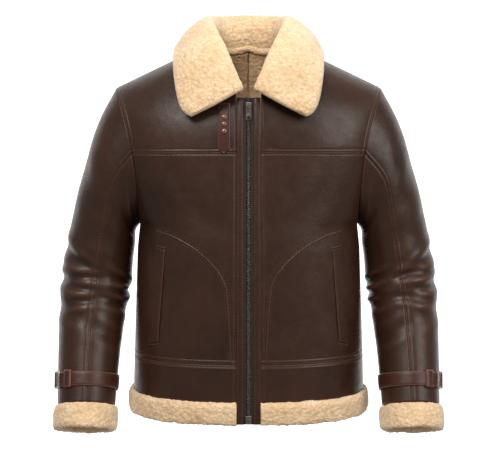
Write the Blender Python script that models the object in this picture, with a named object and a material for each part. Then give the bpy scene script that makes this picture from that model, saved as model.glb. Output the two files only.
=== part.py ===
"""Shearling jacket: leather outside, wool inside, standing open as if worn.

Metres, +Z up. The front faces -Y and the wearer's left side is +X. The origin is at the
base of the neck. Sleeves, fronts and back are walls with the garment's own cut, lofted
through sections; each piece that a maker would cut is its own object.
"""

import math

import bpy
import numpy as np

# Driving sizes
HIDE = 0.005
SEAM = 0.0003
YOKE_Z = -0.190
UNDERARM_Z = -0.315
HEM_SEAM_Z = -0.552
HEM_EDGE_Z = -0.617
HEM_BAND_Z = -0.656
PLACKET_END_Z = -0.654
NECK_SIDE_X = 0.080
NECK_SIDE_Z = 0.012
SHOULDER_SLOPE = 0.48
SHOULDER_TIP_X = 0.243
ARMHOLE_DEPTH = 0.090
FRONT_DEPTH = 0.138
BACK_DEPTH = 0.125
BACK_NECK_ANGLE = math.radians(33)
V_BOTTOM_SINE = 0.885
SECTION_POWER = 0.87
CHEST_TURN = math.radians(66)
# The last column stops about half a seam short of the side seam or the armhole
EDGE_T = 0.9997

# Zip and placket: the top end, then distances from the centre line
ZIP_TOP_Z = -0.092
TAPE_INNER = 0.0004
PLACKET_INNER = 0.0088
PLACKET_OUTER = 0.0204

# Body below the underarm: height, half width at the side seam, front depth, back depth
BODY_SECTIONS = np.array([
    (HEM_BAND_Z - 0.02, 0.2110, 0.139, 0.119),
    (HEM_EDGE_Z, 0.2110, 0.140, 0.117),
    (HEM_SEAM_Z, 0.2095, 0.142, 0.114),
    (-0.450, 0.2065, 0.143, 0.111),
    (-0.360, 0.2040, 0.143, 0.114),
    (UNDERARM_Z, 0.2000, 0.142, 0.118),
    (YOKE_Z, 0.2000, FRONT_DEPTH, BACK_DEPTH),
])

# Sleeve rings after the armhole: outer edge x and z, inner edge x and z, middle y,
# half depth, and how far the ring is pitched up at the front, in degrees
SLEEVE_RINGS = np.array([
    (0.276, -0.130, 0.2095, -0.330, 0.000, 0.084, 0),
    (0.3045, -0.220, 0.2105, -0.352, 0.002, 0.079, 0),
    (0.3262, -0.310, 0.2145, -0.384, 0.004, 0.074, 1),
    (0.3415, -0.395, 0.2180, -0.430, 0.001, 0.069, 4),
    (0.3448, -0.470, 0.2265, -0.484, -0.016, 0.065, 9),
    (0.3425, -0.550, 0.2330, -0.553, -0.046, 0.060, 15),
    (0.3375, -0.634, 0.2365, -0.634, -0.082, 0.055, 20),
    (0.3360, -0.674, 0.2375, -0.674, -0.098, 0.054, 20),
])
CUFF_RING = 7.0
CUFF_END_RING = 8.0
SLEEVE_TWIST = math.radians(9)
FRONT_SEAM_STEP = 6
BACK_SEAM_STEP = 19
ARM_STEPS = 24

# Collar sheet: station (0 front end, 1 side of the neck, 2 back centre), then the middle
# of the sheet at the top of the stand, at the roll, half way down the fall and at its edge
COLLAR_STATIONS = np.array([0.0, 0.35, 0.70, 1.0, 1.5, 2.0])
COLLAR_STAND = np.array([
    (0.0135, -0.133, -0.0830),
    (0.0270, -0.124, -0.0490),
    (0.0470, -0.088, 0.0000),
    (0.0630, -0.016, 0.0340),
    (0.0430, 0.048, 0.0450),
    (0.0000, 0.060, 0.0500),
])
COLLAR_ROLL = np.array([
    (0.0160, -0.145, -0.0830),
    (0.0350, -0.137, -0.0430),
    (0.0590, -0.103, 0.0130),
    (0.0760, -0.014, 0.0560),
    (0.0520, 0.062, 0.0690),
    (0.0000, 0.073, 0.0730),
])
COLLAR_FALL = np.array([
    (0.0570, -0.150, -0.1060),
    (0.0770, -0.140, -0.0740),
    (0.0980, -0.110, -0.0200),
    (0.1150, -0.010, 0.0290),
    (0.0780, 0.096, 0.0360),
    (0.0000, 0.108, 0.0380),
])
COLLAR_EDGE = np.array([
    (0.0985, -0.144, -0.1260),
    (0.1160, -0.134, -0.1120),
    (0.1280, -0.110, -0.0680),
    (0.1340, -0.010, -0.0060),
    (0.0960, 0.112, -0.0280),
    (0.0000, 0.122, -0.0300),
])
COLLAR_THICK = 0.011
COLLAR_CLEAR = 0.0050

# Box at the foot of the zip: centre height, half sizes, reach out of and into the front
BOX_Z = -0.646
BOX_HALF_WIDE = 0.0050
BOX_HALF_HIGH = 0.0070
BOX_OUT = 0.0030
BOX_IN = 0.0009

# Slider: height, half width, reach down, up, out and in
SLIDER_Z = -0.108
SLIDER_HALF_WIDE = 0.0055
SLIDER_DOWN = 0.0090
SLIDER_UP = 0.0070
SLIDER_OUT = 0.0030
SLIDER_IN = 0.0002

# Bridge on the slider: the tab's axis stands out by AXIS_OUT, the front bar by BRIDGE_OUT more
AXIS_OUT = 0.0028
BRIDGE_OUT = 0.0020
BRIDGE_TOP = 0.0052
BRIDGE_FOOT = -0.0022
BRIDGE_HALF_THICK = 0.0008
BRIDGE_HALF_WIDE = 0.0011

# Pull tab: top above the slider's centre, then its sizes, its eye and its window
TAB_TOP = 0.0034
TAB_LONG = 0.026
TAB_THICK = 0.0016
TAB_WIDE = 0.0100
EYE_FOOT = -0.0044
EYE_BAR = 0.0014
EYE_HALF_WIDE = 0.0026
WINDOW_FOOT = 0.0016
WINDOW_TOP = 0.0058
CUTTER_PAST = 0.002

# Pocket welts: inner edge x at the top and the foot, heights, width, end slant, thickness
WELT_TOP_X = 0.1455
WELT_FOOT_X = 0.1580
WELT_TOP_Z = -0.357
WELT_FOOT_Z = -0.518
WELT_WIDE = 0.0165
WELT_SLANT = 0.004
WELT_THICK = 0.0022

# Throat strap and rivets: rivet heights and line, strap thickness, rivet rings, strap outline
RIVET_HEIGHTS = (-0.1275, -0.1395, -0.1515)
RIVET_X = -0.0418
STRAP_THICK = 0.0026
RIVET_RINGS = ((0.0043, 0), (0.0040, 0.0008), (0.0024, 0.0014))
STRAP_TIP_Z = -0.1885
STRAP_SHOULDER_Z = -0.1815
STRAP_TOP_Z = -0.102
STRAP_INNER_X = -0.0318
STRAP_OUTER_X = -0.0530
STRAP_TIP_INNER_X = -0.0440
STRAP_TIP_OUTER_X = -0.0475

# Cuff strap, keeper and buckle: rows along the arm, steps around it, sizes
CUFF_STRAP_ROWS = (6.38, 6.65)
CUFF_STRAP_LIFT = 0.0007
CUFF_STRAP_THICK = 0.0028
KEEPER_ROWS = (6.35, 6.68)
KEEPER_STEPS = (3, 4)
KEEPER_THICK = 0.0028
BUCKLE_STEPS = (1, 2)
BUCKLE_ROWS = (6.40, 6.515, 6.63)
BUCKLE_OUT = 0.0016
BUCKLE_HALF_LONG = 0.0085
BUCKLE_HALF_HIGH = 0.0135
BUCKLE_BAR = (0.0017, 0.0014)

# Fleece bands: how far each stands out of the leather and how deep it goes inside
HEM_BAND_OUT = 0.0095
HEM_BAND_IN = 0.011
CUFF_BAND_OUT = 0.0070
CUFF_BAND_IN = 0.010

SIDES = (("R", -1), ("L", 1))
MATERIALS = {}


def material(name, colour, roughness, metallic=0.0):
    made = bpy.data.materials.new(name)
    made.use_nodes = True
    shader = made.node_tree.nodes["Principled BSDF"]
    shader.inputs["Base Color"].default_value = (*colour, 1)
    shader.inputs["Roughness"].default_value = roughness
    shader.inputs["Metallic"].default_value = metallic
    MATERIALS[name] = made


def make_materials():
    material("leather", (0.048, 0.026, 0.018), 0.42)
    material("strap_leather", (0.085, 0.032, 0.017), 0.40)
    material("fleece", (0.78, 0.60, 0.39), 0.95)
    material("zip_tape", (0.030, 0.020, 0.016), 0.75)
    material("bronze", (0.19, 0.165, 0.14), 0.38, 1.0)
    material("copper", (0.42, 0.22, 0.16), 0.35, 1.0)


# Curves and grids

def smooth_rows(values, at):
    """Catmull-Rom through rows of values at 0, 1, 2 ...; at is an array of places."""
    values = np.asarray(values, float)
    last = len(values) - 1
    at = np.clip(np.asarray(at, float), 0, last)
    k = np.minimum(at.astype(int), last - 1)
    f = (at - k).reshape(at.shape + (1,) * (values.ndim - 1))
    p1 = values[k]
    p2 = values[k + 1]
    p0 = np.where((k > 0).reshape(f.shape), values[np.maximum(k - 1, 0)], 2 * p1 - p2)
    p3 = np.where((k < last - 1).reshape(f.shape), values[np.minimum(k + 2, last)], 2 * p2 - p1)
    return 0.5 * (2 * p1 + (p2 - p0) * f + (2 * p0 - 5 * p1 + 4 * p2 - p3) * f**2
                  + (3 * p1 - p0 - 3 * p2 + p3) * f**3)


def unit(v):
    return v / np.maximum(np.linalg.norm(v, axis=-1, keepdims=True), 1e-12)


def grid_normals(points):
    """Normals of a grid of points, rows by columns."""
    return unit(np.cross(np.gradient(points, axis=1), np.gradient(points, axis=0)))


def add_object(name, points, faces, kind):
    mesh = bpy.data.meshes.new(name)
    mesh.from_pydata([tuple(p) for p in points], [], faces)
    volume = 0.0
    mesh.calc_loop_triangles()
    for tri in mesh.loop_triangles:
        a, b, c = (np.array(mesh.vertices[i].co) for i in tri.vertices)
        volume += float(np.dot(a, np.cross(b, c)))
    if volume < 0:
        mesh.flip_normals()
    mesh.shade_smooth()
    mesh.set_sharp_from_angle(angle=math.radians(40))
    mesh.materials.append(MATERIALS[kind])
    made = bpy.data.objects.new(name, mesh)
    bpy.context.scene.collection.objects.link(made)
    return made


def wall(name, outer, inner, kind, around=False):
    """Closed wall between two equal grids. around joins the last column to the first."""
    rows, columns = outer.shape[:2]
    count = rows * columns
    steps = columns if around else columns - 1

    def at(row, column, side):
        return side * count + row * columns + column % columns

    faces = []
    for r in range(rows - 1):
        for c in range(steps):
            faces.append((at(r, c, 0), at(r, c + 1, 0), at(r + 1, c + 1, 0), at(r + 1, c, 0)))
            faces.append((at(r, c, 1), at(r + 1, c, 1), at(r + 1, c + 1, 1), at(r, c + 1, 1)))
    for c in range(steps):
        top = rows - 1
        faces.append((at(0, c, 1), at(0, c + 1, 1), at(0, c + 1, 0), at(0, c, 0)))
        faces.append((at(top, c, 0), at(top, c + 1, 0), at(top, c + 1, 1), at(top, c, 1)))
    if not around:
        for r in range(rows - 1):
            end = columns - 1
            faces.append((at(r, 0, 0), at(r + 1, 0, 0), at(r + 1, 0, 1), at(r, 0, 1)))
            faces.append((at(r, end, 1), at(r + 1, end, 1), at(r + 1, end, 0), at(r, end, 0)))
    points = np.concatenate([outer.reshape(-1, 3), inner.reshape(-1, 3)])
    return add_object(name, points, faces, kind)


def tube(name, rings, kind, closed=False):
    """Solid through rings of points (rings by points). closed joins the last to the first."""
    count, sides = rings.shape[:2]
    faces = []
    for r in range(count if closed else count - 1):
        for c in range(sides):
            a = r * sides + c
            b = r * sides + (c + 1) % sides
            up = ((r + 1) % count) * sides
            faces.append((a, b, up + (c + 1) % sides, up + c))
    if not closed:
        faces.append(tuple(range(sides - 1, -1, -1)))
        faces.append(tuple((count - 1) * sides + c for c in range(sides)))
    return add_object(name, rings.reshape(-1, 3), faces, kind)


# Body surface

def armhole_x(angle):
    return 0.2215 + (SHOULDER_TIP_X - 0.2215) * np.cos(angle) - 0.016 * np.sin(angle) ** 2


def shoulder_z(x):
    return NECK_SIDE_Z - SHOULDER_SLOPE * (x - NECK_SIDE_X)


ARMHOLE_RISE = shoulder_z(SHOULDER_TIP_X) - YOKE_Z
ARMHOLE_DROP = YOKE_Z - UNDERARM_Z


def armhole_point(angle, side):
    """Armhole ring: angle 0 at the shoulder tip, 90 degrees at the front, 180 underarm."""
    angle = np.asarray(angle, float)
    rise = np.where(np.cos(angle) > 0, ARMHOLE_RISE, ARMHOLE_DROP)
    return np.stack([side * armhole_x(angle), -ARMHOLE_DEPTH * np.sin(angle),
                     YOKE_Z + rise * np.cos(angle)], axis=-1)


def armhole_normal(angle, side):
    """The wall direction shared by both edges of the armhole seam."""
    angle = np.asarray(angle, float)
    outwards = side * 0.9 * np.maximum(0, -np.cos(angle))
    return unit(np.stack([outwards, -np.sin(angle), np.cos(angle)], axis=-1))


def lower_edge(z):
    """Edge x, edge depth and turning angle of the section at height z, below the yoke."""
    table = BODY_SECTIONS
    angle = np.arccos(np.clip((z - YOKE_Z) / ARMHOLE_DROP, -1, 0))
    above = z > UNDERARM_Z
    x = np.where(above, armhole_x(angle), np.interp(z, table[:, 0], table[:, 1]))
    y = np.where(above, ARMHOLE_DEPTH * np.sin(angle), 0.0)
    turn = CHEST_TURN + (math.pi / 2 - CHEST_TURN) * np.cos(angle) ** 2
    return x, y, np.where(above, turn, math.pi / 2)


def share_of_x(t, turn):
    return (np.sin(t * turn) / np.sin(turn)) ** SECTION_POWER


def share_to_t(share, turn):
    return np.arcsin(np.clip(share, 0, 1) ** (1 / SECTION_POWER) * np.sin(turn)) / turn


def share_of_depth(t, turn):
    edge = np.maximum(np.cos(turn), 0) ** SECTION_POWER
    return (np.maximum(np.cos(t * turn), 0) ** SECTION_POWER - edge) / (1 - edge)


def lower_point(t, z, side, face):
    """face -1 is the front, +1 the back. t runs from 0 at the centre to 1 at the edge."""
    table = BODY_SECTIONS
    edge_x, edge_y, turn = lower_edge(z)
    depth = np.interp(z, table[:, 0], table[:, 2 if face < 0 else 3])
    x = edge_x * share_of_x(t, turn)
    y = edge_y + (depth - edge_y) * share_of_depth(t, turn)
    return np.stack([side * x, face * y, z + 0 * x], axis=-1)


def upper_point(t, angle, side, face):
    """Above the yoke seam: angle runs from 90 degrees at the seam to 0 on the shoulder."""
    depth = FRONT_DEPTH if face < 0 else BACK_DEPTH
    share = share_of_x(t, CHEST_TURN)
    reach = ARMHOLE_DEPTH + (depth - ARMHOLE_DEPTH) * share_of_depth(t, CHEST_TURN)
    top = shoulder_z(share * SHOULDER_TIP_X) - YOKE_Z
    return np.stack([side * share * armhole_x(angle), face * reach * np.sin(angle),
                     YOKE_Z + top * np.cos(angle)], axis=-1)


def body_grid(ts, heights, side, face, upper):
    """Points and normals of a patch; heights are z below the yoke, angles above."""
    make = upper_point if upper else lower_point
    points = make(ts, heights, side, face)
    step = 1e-4
    inner = np.clip(ts, 2 * step, 1 - 2 * step)
    across = make(inner + step, heights, side, face) - make(inner - step, heights, side, face)
    low = heights if upper else np.maximum(heights, HEM_BAND_Z - 0.015)
    along = make(inner, low + step, side, face) - make(inner, low - step, side, face)
    return points, unit(np.cross(across, along))


def patch(ts, heights, side, face, upper, lift):
    """The patch moved out by lift (in if negative) along the wall's own direction.

    Pieces that meet share that direction at their seam, so their edges stay side by side.
    """
    points, normals = body_grid(ts, heights, side, face, upper)
    centre = np.zeros_like(points)
    centre[..., 2] = YOKE_Z if upper else points[..., 2]
    normals = normals * np.sign(np.sum(normals * (points - centre), axis=-1, keepdims=True))
    at_yoke = np.clip(1 - np.abs(points[..., 2] - YOKE_Z) / 0.006, 0, 1)
    at_side = np.clip(1 - np.abs(points[..., 1]) / 0.006, 0, 1)
    normals[..., 2] *= 1 - at_yoke
    normals[..., 1] *= 1 - at_side
    if upper:
        angle = heights + 0 * ts
    else:
        angle = np.arccos(np.clip((heights + 0 * ts - YOKE_Z) / ARMHOLE_DROP, -1, 0))
    shared = armhole_normal(np.where(face < 0, angle, 2 * math.pi - angle), side)
    at_arm = (np.clip((ts - 0.97) / 0.02, 0, 1) + 0 * angle) * (points[..., 2] > UNDERARM_Z - 0.001)
    normals = unit(normals) * (1 - at_arm[..., None]) + shared * at_arm[..., None]
    return points + unit(normals) * lift


def neck_angle(share, face):
    """Angle at which the column of this share of x meets the neck line."""
    end = NECK_SIDE_X / SHOULDER_TIP_X
    if face < 0:
        start = PLACKET_OUTER / SHOULDER_TIP_X
        q = np.clip((share - start) / (end - start), 0, 1)
        return np.arcsin(V_BOTTOM_SINE * (1 - q**1.25) ** (1 / 1.25))
    q = np.clip(share / end, 0, 1)
    return np.arcsin(math.sin(BACK_NECK_ANGLE) * np.sqrt(1 - q**2))


# Stations shared by neighbouring pieces, so that their edges run side by side

NECK_STEPS = 5
YOKE_STEPS = 6
SLEEVE_ROWS = np.array([0, 0.35, 0.7, 1, 1.5, 2, 2.5, 3, 3.5, 4, 4.5, 5, 6, CUFF_RING])


def column_shares(start):
    """Shares of x, from the centre edge over the neck to the armhole."""
    neck = NECK_SIDE_X / SHOULDER_TIP_X
    return np.concatenate([np.linspace(start, neck, NECK_STEPS + 1),
                           np.linspace(neck, 1, 6)[1:]])


def armhole_heights():
    """Heights of the armhole's lower half, at the sleeve's own stations."""
    angles = np.radians(np.arange(90, 181, 360 / ARM_STEPS))
    return YOKE_Z + ARMHOLE_DROP * np.cos(angles)


def lower_columns(heights, face):
    """t for each row and column of a panel below the yoke, and the rows' heights."""
    _, _, turn = lower_edge(heights)
    edge_x, _, _ = lower_edge(heights)
    first = (PLACKET_OUTER + SEAM) / edge_x if face < 0 else SEAM / 2 / edge_x
    start = (PLACKET_OUTER + SEAM) / armhole_x(math.pi / 2) if face < 0 else 0.0
    top = share_to_t(column_shares(start), CHEST_TURN)
    blend = (top - top[0]) / (1 - top[0])
    begin = share_to_t(first, turn)[:, None]
    end = EDGE_T
    return begin + (end - begin) * blend[None, :], heights[:, None] + 0 * blend[None, :]


def body_wall(name, heights, side, face, kind="leather", lift=0.0, thick=HIDE):
    ts, zs = lower_columns(np.asarray(heights, float), face)
    wall(name, patch(ts, zs, side, face, False, lift),
         patch(ts, zs, side, face, False, lift - thick), kind)


def yoke_columns(face):
    start = (PLACKET_OUTER + SEAM) / armhole_x(math.pi / 2) if face < 0 else 0.0
    ts = share_to_t(column_shares(start), CHEST_TURN)
    last = neck_angle(column_shares(start), face)
    ts = ts[0] + (ts - ts[0]) / (ts[-1] - ts[0]) * (EDGE_T - ts[0])
    return ts, np.maximum(last, SEAM / 0.2)


def yoke_grid(side, face, lift):
    ts, last = yoke_columns(face)
    down = np.linspace(0, 1, YOKE_STEPS + 1)[:, None]
    angles = (math.pi / 2 - SEAM) * (1 - down) + last[None, :] * down
    return patch(ts[None, :] + 0 * angles, angles, side, face, True, lift)


def make_fronts_and_back():
    lower = np.concatenate([[YOKE_Z - SEAM / 2], armhole_heights()[1:],
                            [-0.36, -0.42, -0.485, HEM_SEAM_Z + SEAM / 2]])
    strip = np.array([HEM_SEAM_Z - SEAM / 2, HEM_EDGE_Z])
    for tag, side in SIDES:
        wall("front_yoke_" + tag, yoke_grid(side, -1, 0), yoke_grid(side, -1, -HIDE), "leather")
        body_wall("front_panel_" + tag, lower, side, -1)
        body_wall("hem_strip_front_" + tag, strip, side, -1)
        body_wall("back_panel_" + tag, lower, side, 1)
    back = [np.concatenate([yoke_grid(-1, 1, lift)[:, :0:-1], yoke_grid(1, 1, lift)], axis=1)
            for lift in (0, -HIDE)]
    wall("back_yoke", *back, "leather")
    ts, zs = lower_columns(strip, 1)
    ts = ts - ts[:, :1]
    halves = []
    for lift in (0, -HIDE):
        right = patch(ts, zs, -1, 1, False, lift)[:, :0:-1]
        halves.append(np.concatenate([right, patch(ts, zs, 1, 1, False, lift)], axis=1))
    wall("hem_strip_back", *halves, "leather")


# Sleeves

def sleeve_rings(side):
    """Control rings by angle steps: the armhole, then the rows of the table."""
    angles = np.radians(np.arange(ARM_STEPS + 1) * 360 / ARM_STEPS)
    rings = [armhole_point(angles, side)]
    for number, (ox, oz, ix, iz, y, deep, pitch) in enumerate(SLEEVE_RINGS):
        turned = angles + SLEEVE_TWIST * min(1.0, (number + 1) / 3)
        half = np.array([(ox - ix) / 2, 0, (oz - iz) / 2])
        middle = np.array([(ox + ix) / 2, y, (oz + iz) / 2])
        tilt = math.radians(pitch)
        fore = np.array([0, -math.cos(tilt), math.sin(tilt)])
        ring = (middle + np.cos(turned)[:, None] * half
                + np.sin(turned)[:, None] * deep * fore)
        ring[:, 0] *= side
        rings.append(ring)
    return np.array(rings)


def sleeve_grid(side, rows, steps, lift):
    """Rows along the arm by angle steps, moved out by lift along the wall's direction."""
    rings = sleeve_rings(side)
    steps = np.asarray(steps)
    rows = np.asarray(rows, float)
    fine = smooth_rows(rings, rows)
    step = 1e-3
    ahead = smooth_rows(rings, np.minimum(rows + step, len(rings) - 1.0))
    behind = smooth_rows(rings, np.maximum(rows - step, 0.0))
    along = ahead - behind
    around = np.roll(fine[:, :-1], -1, axis=1) - np.roll(fine[:, :-1], 1, axis=1)
    around = np.concatenate([around, around[:, :1]], axis=1)
    normals = unit(np.cross(around, along)) * side
    angles = np.radians(np.arange(ARM_STEPS + 1) * 360 / ARM_STEPS)
    shared = armhole_normal(angles, side)
    near = np.clip(1 - rows / 0.7, 0, 1)[:, None, None]
    normals = unit(normals * (1 - near) + shared[None] * near)
    off = fine.copy()
    off[..., 0] += side * 3 * SEAM * np.clip(1 - rows / 0.35, 0, 1)[:, None]
    turned = (off + normals * lift)[:, :-1]
    return turned[:, steps % ARM_STEPS]


def seam_inset(grid):
    """Pulls the two end columns in by half a seam."""
    first = unit(grid[:, 1] - grid[:, 0])
    last = unit(grid[:, -2] - grid[:, -1])
    grid = grid.copy()
    grid[:, 0] += first * SEAM / 2
    grid[:, -1] += last * SEAM / 2
    return grid


def make_sleeves():
    top = np.arange(BACK_SEAM_STEP - ARM_STEPS, FRONT_SEAM_STEP + 1)
    under = np.arange(FRONT_SEAM_STEP, BACK_SEAM_STEP + 1)
    for tag, side in SIDES:
        for name, steps in (("sleeve_top_", top), ("sleeve_under_", under)):
            outer = seam_inset(sleeve_grid(side, SLEEVE_ROWS, steps, 0))
            inner = seam_inset(sleeve_grid(side, SLEEVE_ROWS, steps, -HIDE))
            wall(name + tag, outer, inner, "leather")


def swept_band(name, rows_at, kind, out, deep, around):
    """Rounded band: rows_at(share, lift) gives the path's points at a share of its height."""
    section = ((0.0, out * 0.55), (0.22, out), (0.78, out), (1.0, out * 0.45),
               (1.0, -deep * 0.55), (0.78, -deep), (0.22, -deep), (0.0, -deep * 0.6))
    rings = np.stack([rows_at(share, lift) for share, lift in section], axis=1)
    return tube(name, rings, kind, closed=around)


def make_fleece_bands():
    top = HEM_EDGE_Z - SEAM
    height = top - HEM_BAND_Z

    def half(side, face, share, lift):
        z = np.array([top - share * height])
        ts, zs = lower_columns(z, face)
        if face > 0:
            ts = ts - ts[:, :1]
        return patch(ts, zs, side, face, False, lift)[0]

    for tag, side in SIDES:
        swept_band("hem_fleece_" + tag, lambda share, lift, side=side: half(side, -1, share, lift),
                   "fleece", HEM_BAND_OUT, HEM_BAND_IN, False)
    swept_band("hem_fleece_back", lambda share, lift: np.concatenate(
        [half(-1, 1, share, lift)[:0:-1], half(1, 1, share, lift)]),
        "fleece", HEM_BAND_OUT, HEM_BAND_IN, False)
    for tag, side in SIDES:
        begin = CUFF_RING + 0.01
        length = CUFF_END_RING - begin
        swept_band("cuff_fleece_" + tag, lambda share, lift, side=side: sleeve_grid(
            side, [begin + share * length], np.arange(ARM_STEPS), lift)[0],
            "fleece", CUFF_BAND_OUT, CUFF_BAND_IN, True)


# Pieces placed on the front by x and z

def front_point(x, z, lift):
    """Point of the front at this x and z, moved out by lift along the surface's normal."""
    x = np.asarray(x, float) + 0 * np.asarray(z, float)
    z = np.asarray(z, float) + 0 * x
    side = np.where(x < 0, -1.0, 1.0)
    edge_x, _, turn = lower_edge(np.minimum(z, YOKE_Z))
    low_t = share_to_t(np.abs(x) / edge_x, turn)
    low = patch(low_t, np.minimum(z, YOKE_Z), side, -1, False, 0)
    share = np.clip(np.abs(x) / 0.22, 0, 1)
    for _ in range(12):
        rise = shoulder_z(share * SHOULDER_TIP_X) - YOKE_Z
        angle = np.arccos(np.clip((z - YOKE_Z) / rise, 0, 1))
        share = np.clip(np.abs(x) / armhole_x(angle), 0, 1)
    high = upper_point(share_to_t(share, CHEST_TURN), angle, side, -1)
    surface = np.where((z > YOKE_Z)[..., None], high, low)
    if np.ndim(lift) == 0 and lift == 0:
        return surface
    step = 0.001
    across = front_point(x + step, z, 0) - front_point(x - step, z, 0)
    along = front_point(x, z + step, 0) - front_point(x, z - step, 0)
    normal = unit(np.cross(across, along))
    return surface + normal * np.asarray(lift)[..., None]


def front_strip(name, xs, zs, low, high, kind):
    """Piece on the front over rows of x and z, between two distances off the surface."""
    wall(name, front_point(xs, zs, high), front_point(xs, zs, low), kind)


def make_zip():
    rows = np.concatenate([np.linspace(PLACKET_END_Z, HEM_SEAM_Z, 4),
                           [-0.485, -0.42, -0.36, -0.3, -0.245, YOKE_Z, -0.16, -0.13, ZIP_TOP_Z]])
    for tag, side in SIDES:
        xs = side * np.array([PLACKET_INNER, (PLACKET_INNER + PLACKET_OUTER) / 2, PLACKET_OUTER])
        front_strip("placket_" + tag, xs[None, :], rows[:, None], -HIDE, 0.0012, "leather")
        xs = side * np.array([TAPE_INNER, PLACKET_INNER - SEAM])
        front_strip("zip_tape_" + tag, xs[None, :], rows[:, None], -HIDE, -0.0015, "zip_tape")
    zip_box()
    slider_and_tab()


def block(name, low, high, kind, bevel):
    """Box between two corners with rounded edges."""
    low = np.array(low)
    high = np.array(high)
    corners = [tuple(np.where([i, j, k], high, low)) for i in (0, 1) for j in (0, 1) for k in (0, 1)]
    faces = [(0, 1, 3, 2), (4, 6, 7, 5), (0, 4, 5, 1), (2, 3, 7, 6), (0, 2, 6, 4), (1, 5, 7, 3)]
    made = add_object(name, corners, faces, kind)
    edge = made.modifiers.new("rounded", "BEVEL")
    edge.width = bevel
    edge.segments = 1
    return made


def front_y(z):
    return float(front_point(0.0, z, 0)[1])


def zip_box():
    y = front_y(BOX_Z)
    block("zip_box", (-BOX_HALF_WIDE, y - BOX_OUT, BOX_Z - BOX_HALF_HIGH),
          (BOX_HALF_WIDE, y + BOX_IN, BOX_Z + BOX_HALF_HIGH), "bronze", 0.0006)


def slider_and_tab():
    """The slider rides on the teeth; its bridge is an arch that the tab's eye hangs from."""
    y = front_y(SLIDER_Z)
    face = y - SLIDER_OUT
    block("zip_slider", (-SLIDER_HALF_WIDE, face, SLIDER_Z - SLIDER_DOWN),
          (SLIDER_HALF_WIDE, y + SLIDER_IN, SLIDER_Z + SLIDER_UP), "bronze", 0.0008)
    # Bridge: a bar on the slider, bent over the axis of the tab and back
    axis_y = face - AXIS_OUT
    half = BRIDGE_HALF_THICK
    root = face - SEAM
    front = axis_y - BRIDGE_OUT
    top = SLIDER_Z + BRIDGE_TOP
    foot = SLIDER_Z + BRIDGE_FOOT
    outline = [(root, top + half), (front - half, top + half), (front - half, foot - half),
               (root, foot - half), (root, foot + half), (front + half, foot + half),
               (front + half, top - half), (root, top - half)]
    sides = [[(x, depth, z) for depth, z in outline] for x in (-BRIDGE_HALF_WIDE, BRIDGE_HALF_WIDE)]
    tube("zip_bridge", np.array(sides), "bronze")
    # Tab: a plate with an eye round the bridge, hanging in front of the slider
    tab_top = SLIDER_Z + TAB_TOP
    tab_foot = tab_top - TAB_LONG
    near = axis_y - TAB_THICK / 2
    tab = block("zip_pull_tab", (-TAB_WIDE / 2, near, tab_foot),
                (TAB_WIDE / 2, near + TAB_THICK, tab_top), "bronze", 0.0004)
    for name, low, high in (("eye_cutter", SLIDER_Z + EYE_FOOT, tab_top - EYE_BAR),
                            ("window_cutter", tab_foot + WINDOW_FOOT, tab_foot + WINDOW_TOP)):
        cutter = block(name, (-EYE_HALF_WIDE, near - CUTTER_PAST, low),
                       (EYE_HALF_WIDE, near + TAB_THICK + CUTTER_PAST, high), "bronze", 0.0002)
        cutter.hide_render = True
        cutter.display_type = "WIRE"
        cut = tab.modifiers.new(name, "BOOLEAN")
        cut.object = cutter
        cut.operation = "DIFFERENCE"


def make_pockets():
    """Welts laid on the fronts: slanted strips."""
    share = np.linspace(0, 1, 5)[:, None]
    for tag, side in SIDES:
        across = np.array([0.0, 0.5, 1.0])[None, :]
        inner_x = WELT_TOP_X + (WELT_FOOT_X - WELT_TOP_X) * share
        xs = side * (inner_x + WELT_WIDE * across)
        zs = WELT_TOP_Z + (WELT_FOOT_Z - WELT_TOP_Z) * share + WELT_SLANT * (1 - 2 * share) * across
        front_strip("pocket_welt_" + tag, xs, zs, SEAM, WELT_THICK, "leather")


def make_throat_strap():
    """A strap with a pointed end, laid on the right yoke, and its three rivets."""
    heights = np.array([STRAP_TIP_Z, STRAP_SHOULDER_Z, -0.160, -0.138, -0.116, STRAP_TOP_Z])
    inner = np.full(len(heights), STRAP_INNER_X)
    outer = np.full(len(heights), STRAP_OUTER_X)
    inner[0] = STRAP_TIP_INNER_X
    outer[0] = STRAP_TIP_OUTER_X
    xs = np.stack([inner, (inner + outer) / 2, outer], axis=1)
    zs = np.repeat(heights[:, None], 3, axis=1)
    zs[0] = (STRAP_TIP_Z + 0.004, STRAP_TIP_Z, STRAP_TIP_Z + 0.0035)
    front_strip("throat_strap", xs, zs, SEAM, STRAP_THICK, "strap_leather")
    turn = np.arange(12) * math.tau / 12
    for number, z in enumerate(RIVET_HEIGHTS):
        centre = front_point(RIVET_X, z, STRAP_THICK + 4 * SEAM)
        rings = []
        for radius, out in RIVET_RINGS:
            rings.append([centre + (radius * math.cos(a), -out, radius * math.sin(a)) for a in turn])
        tube("throat_rivet_" + str(number + 1), np.array(rings), "copper")


# Collar

def collar_table(table, w):
    """Smooth values of a collar line at stations w, mirrored past the back centre."""
    place = np.interp(w, COLLAR_STATIONS, np.arange(len(COLLAR_STATIONS)))
    mirrored = table[::-1].copy()
    mirrored[:, 0] *= -1
    return smooth_rows(np.concatenate([table, mirrored[1:]]), place)


def neck_line(side):
    """Stations 0 to 2 along half the neck and the points of the seam there."""
    points = []
    stations = []
    for face in (-1, 1):
        start = (PLACKET_OUTER + SEAM) / armhole_x(math.pi / 2) if face < 0 else 0.0
        shares = column_shares(start)[:NECK_STEPS + 1]
        ts = share_to_t(shares, CHEST_TURN)
        line = upper_point(ts, neck_angle(shares, face), side, face)
        part = np.linspace(0, 1, NECK_STEPS + 1)
        if face < 0:
            points.append(line)
            stations.append(part)
        else:
            points.append(line[::-1][1:])
            stations.append(1 + part[1:])
    return np.concatenate(stations), np.concatenate(points)


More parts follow.
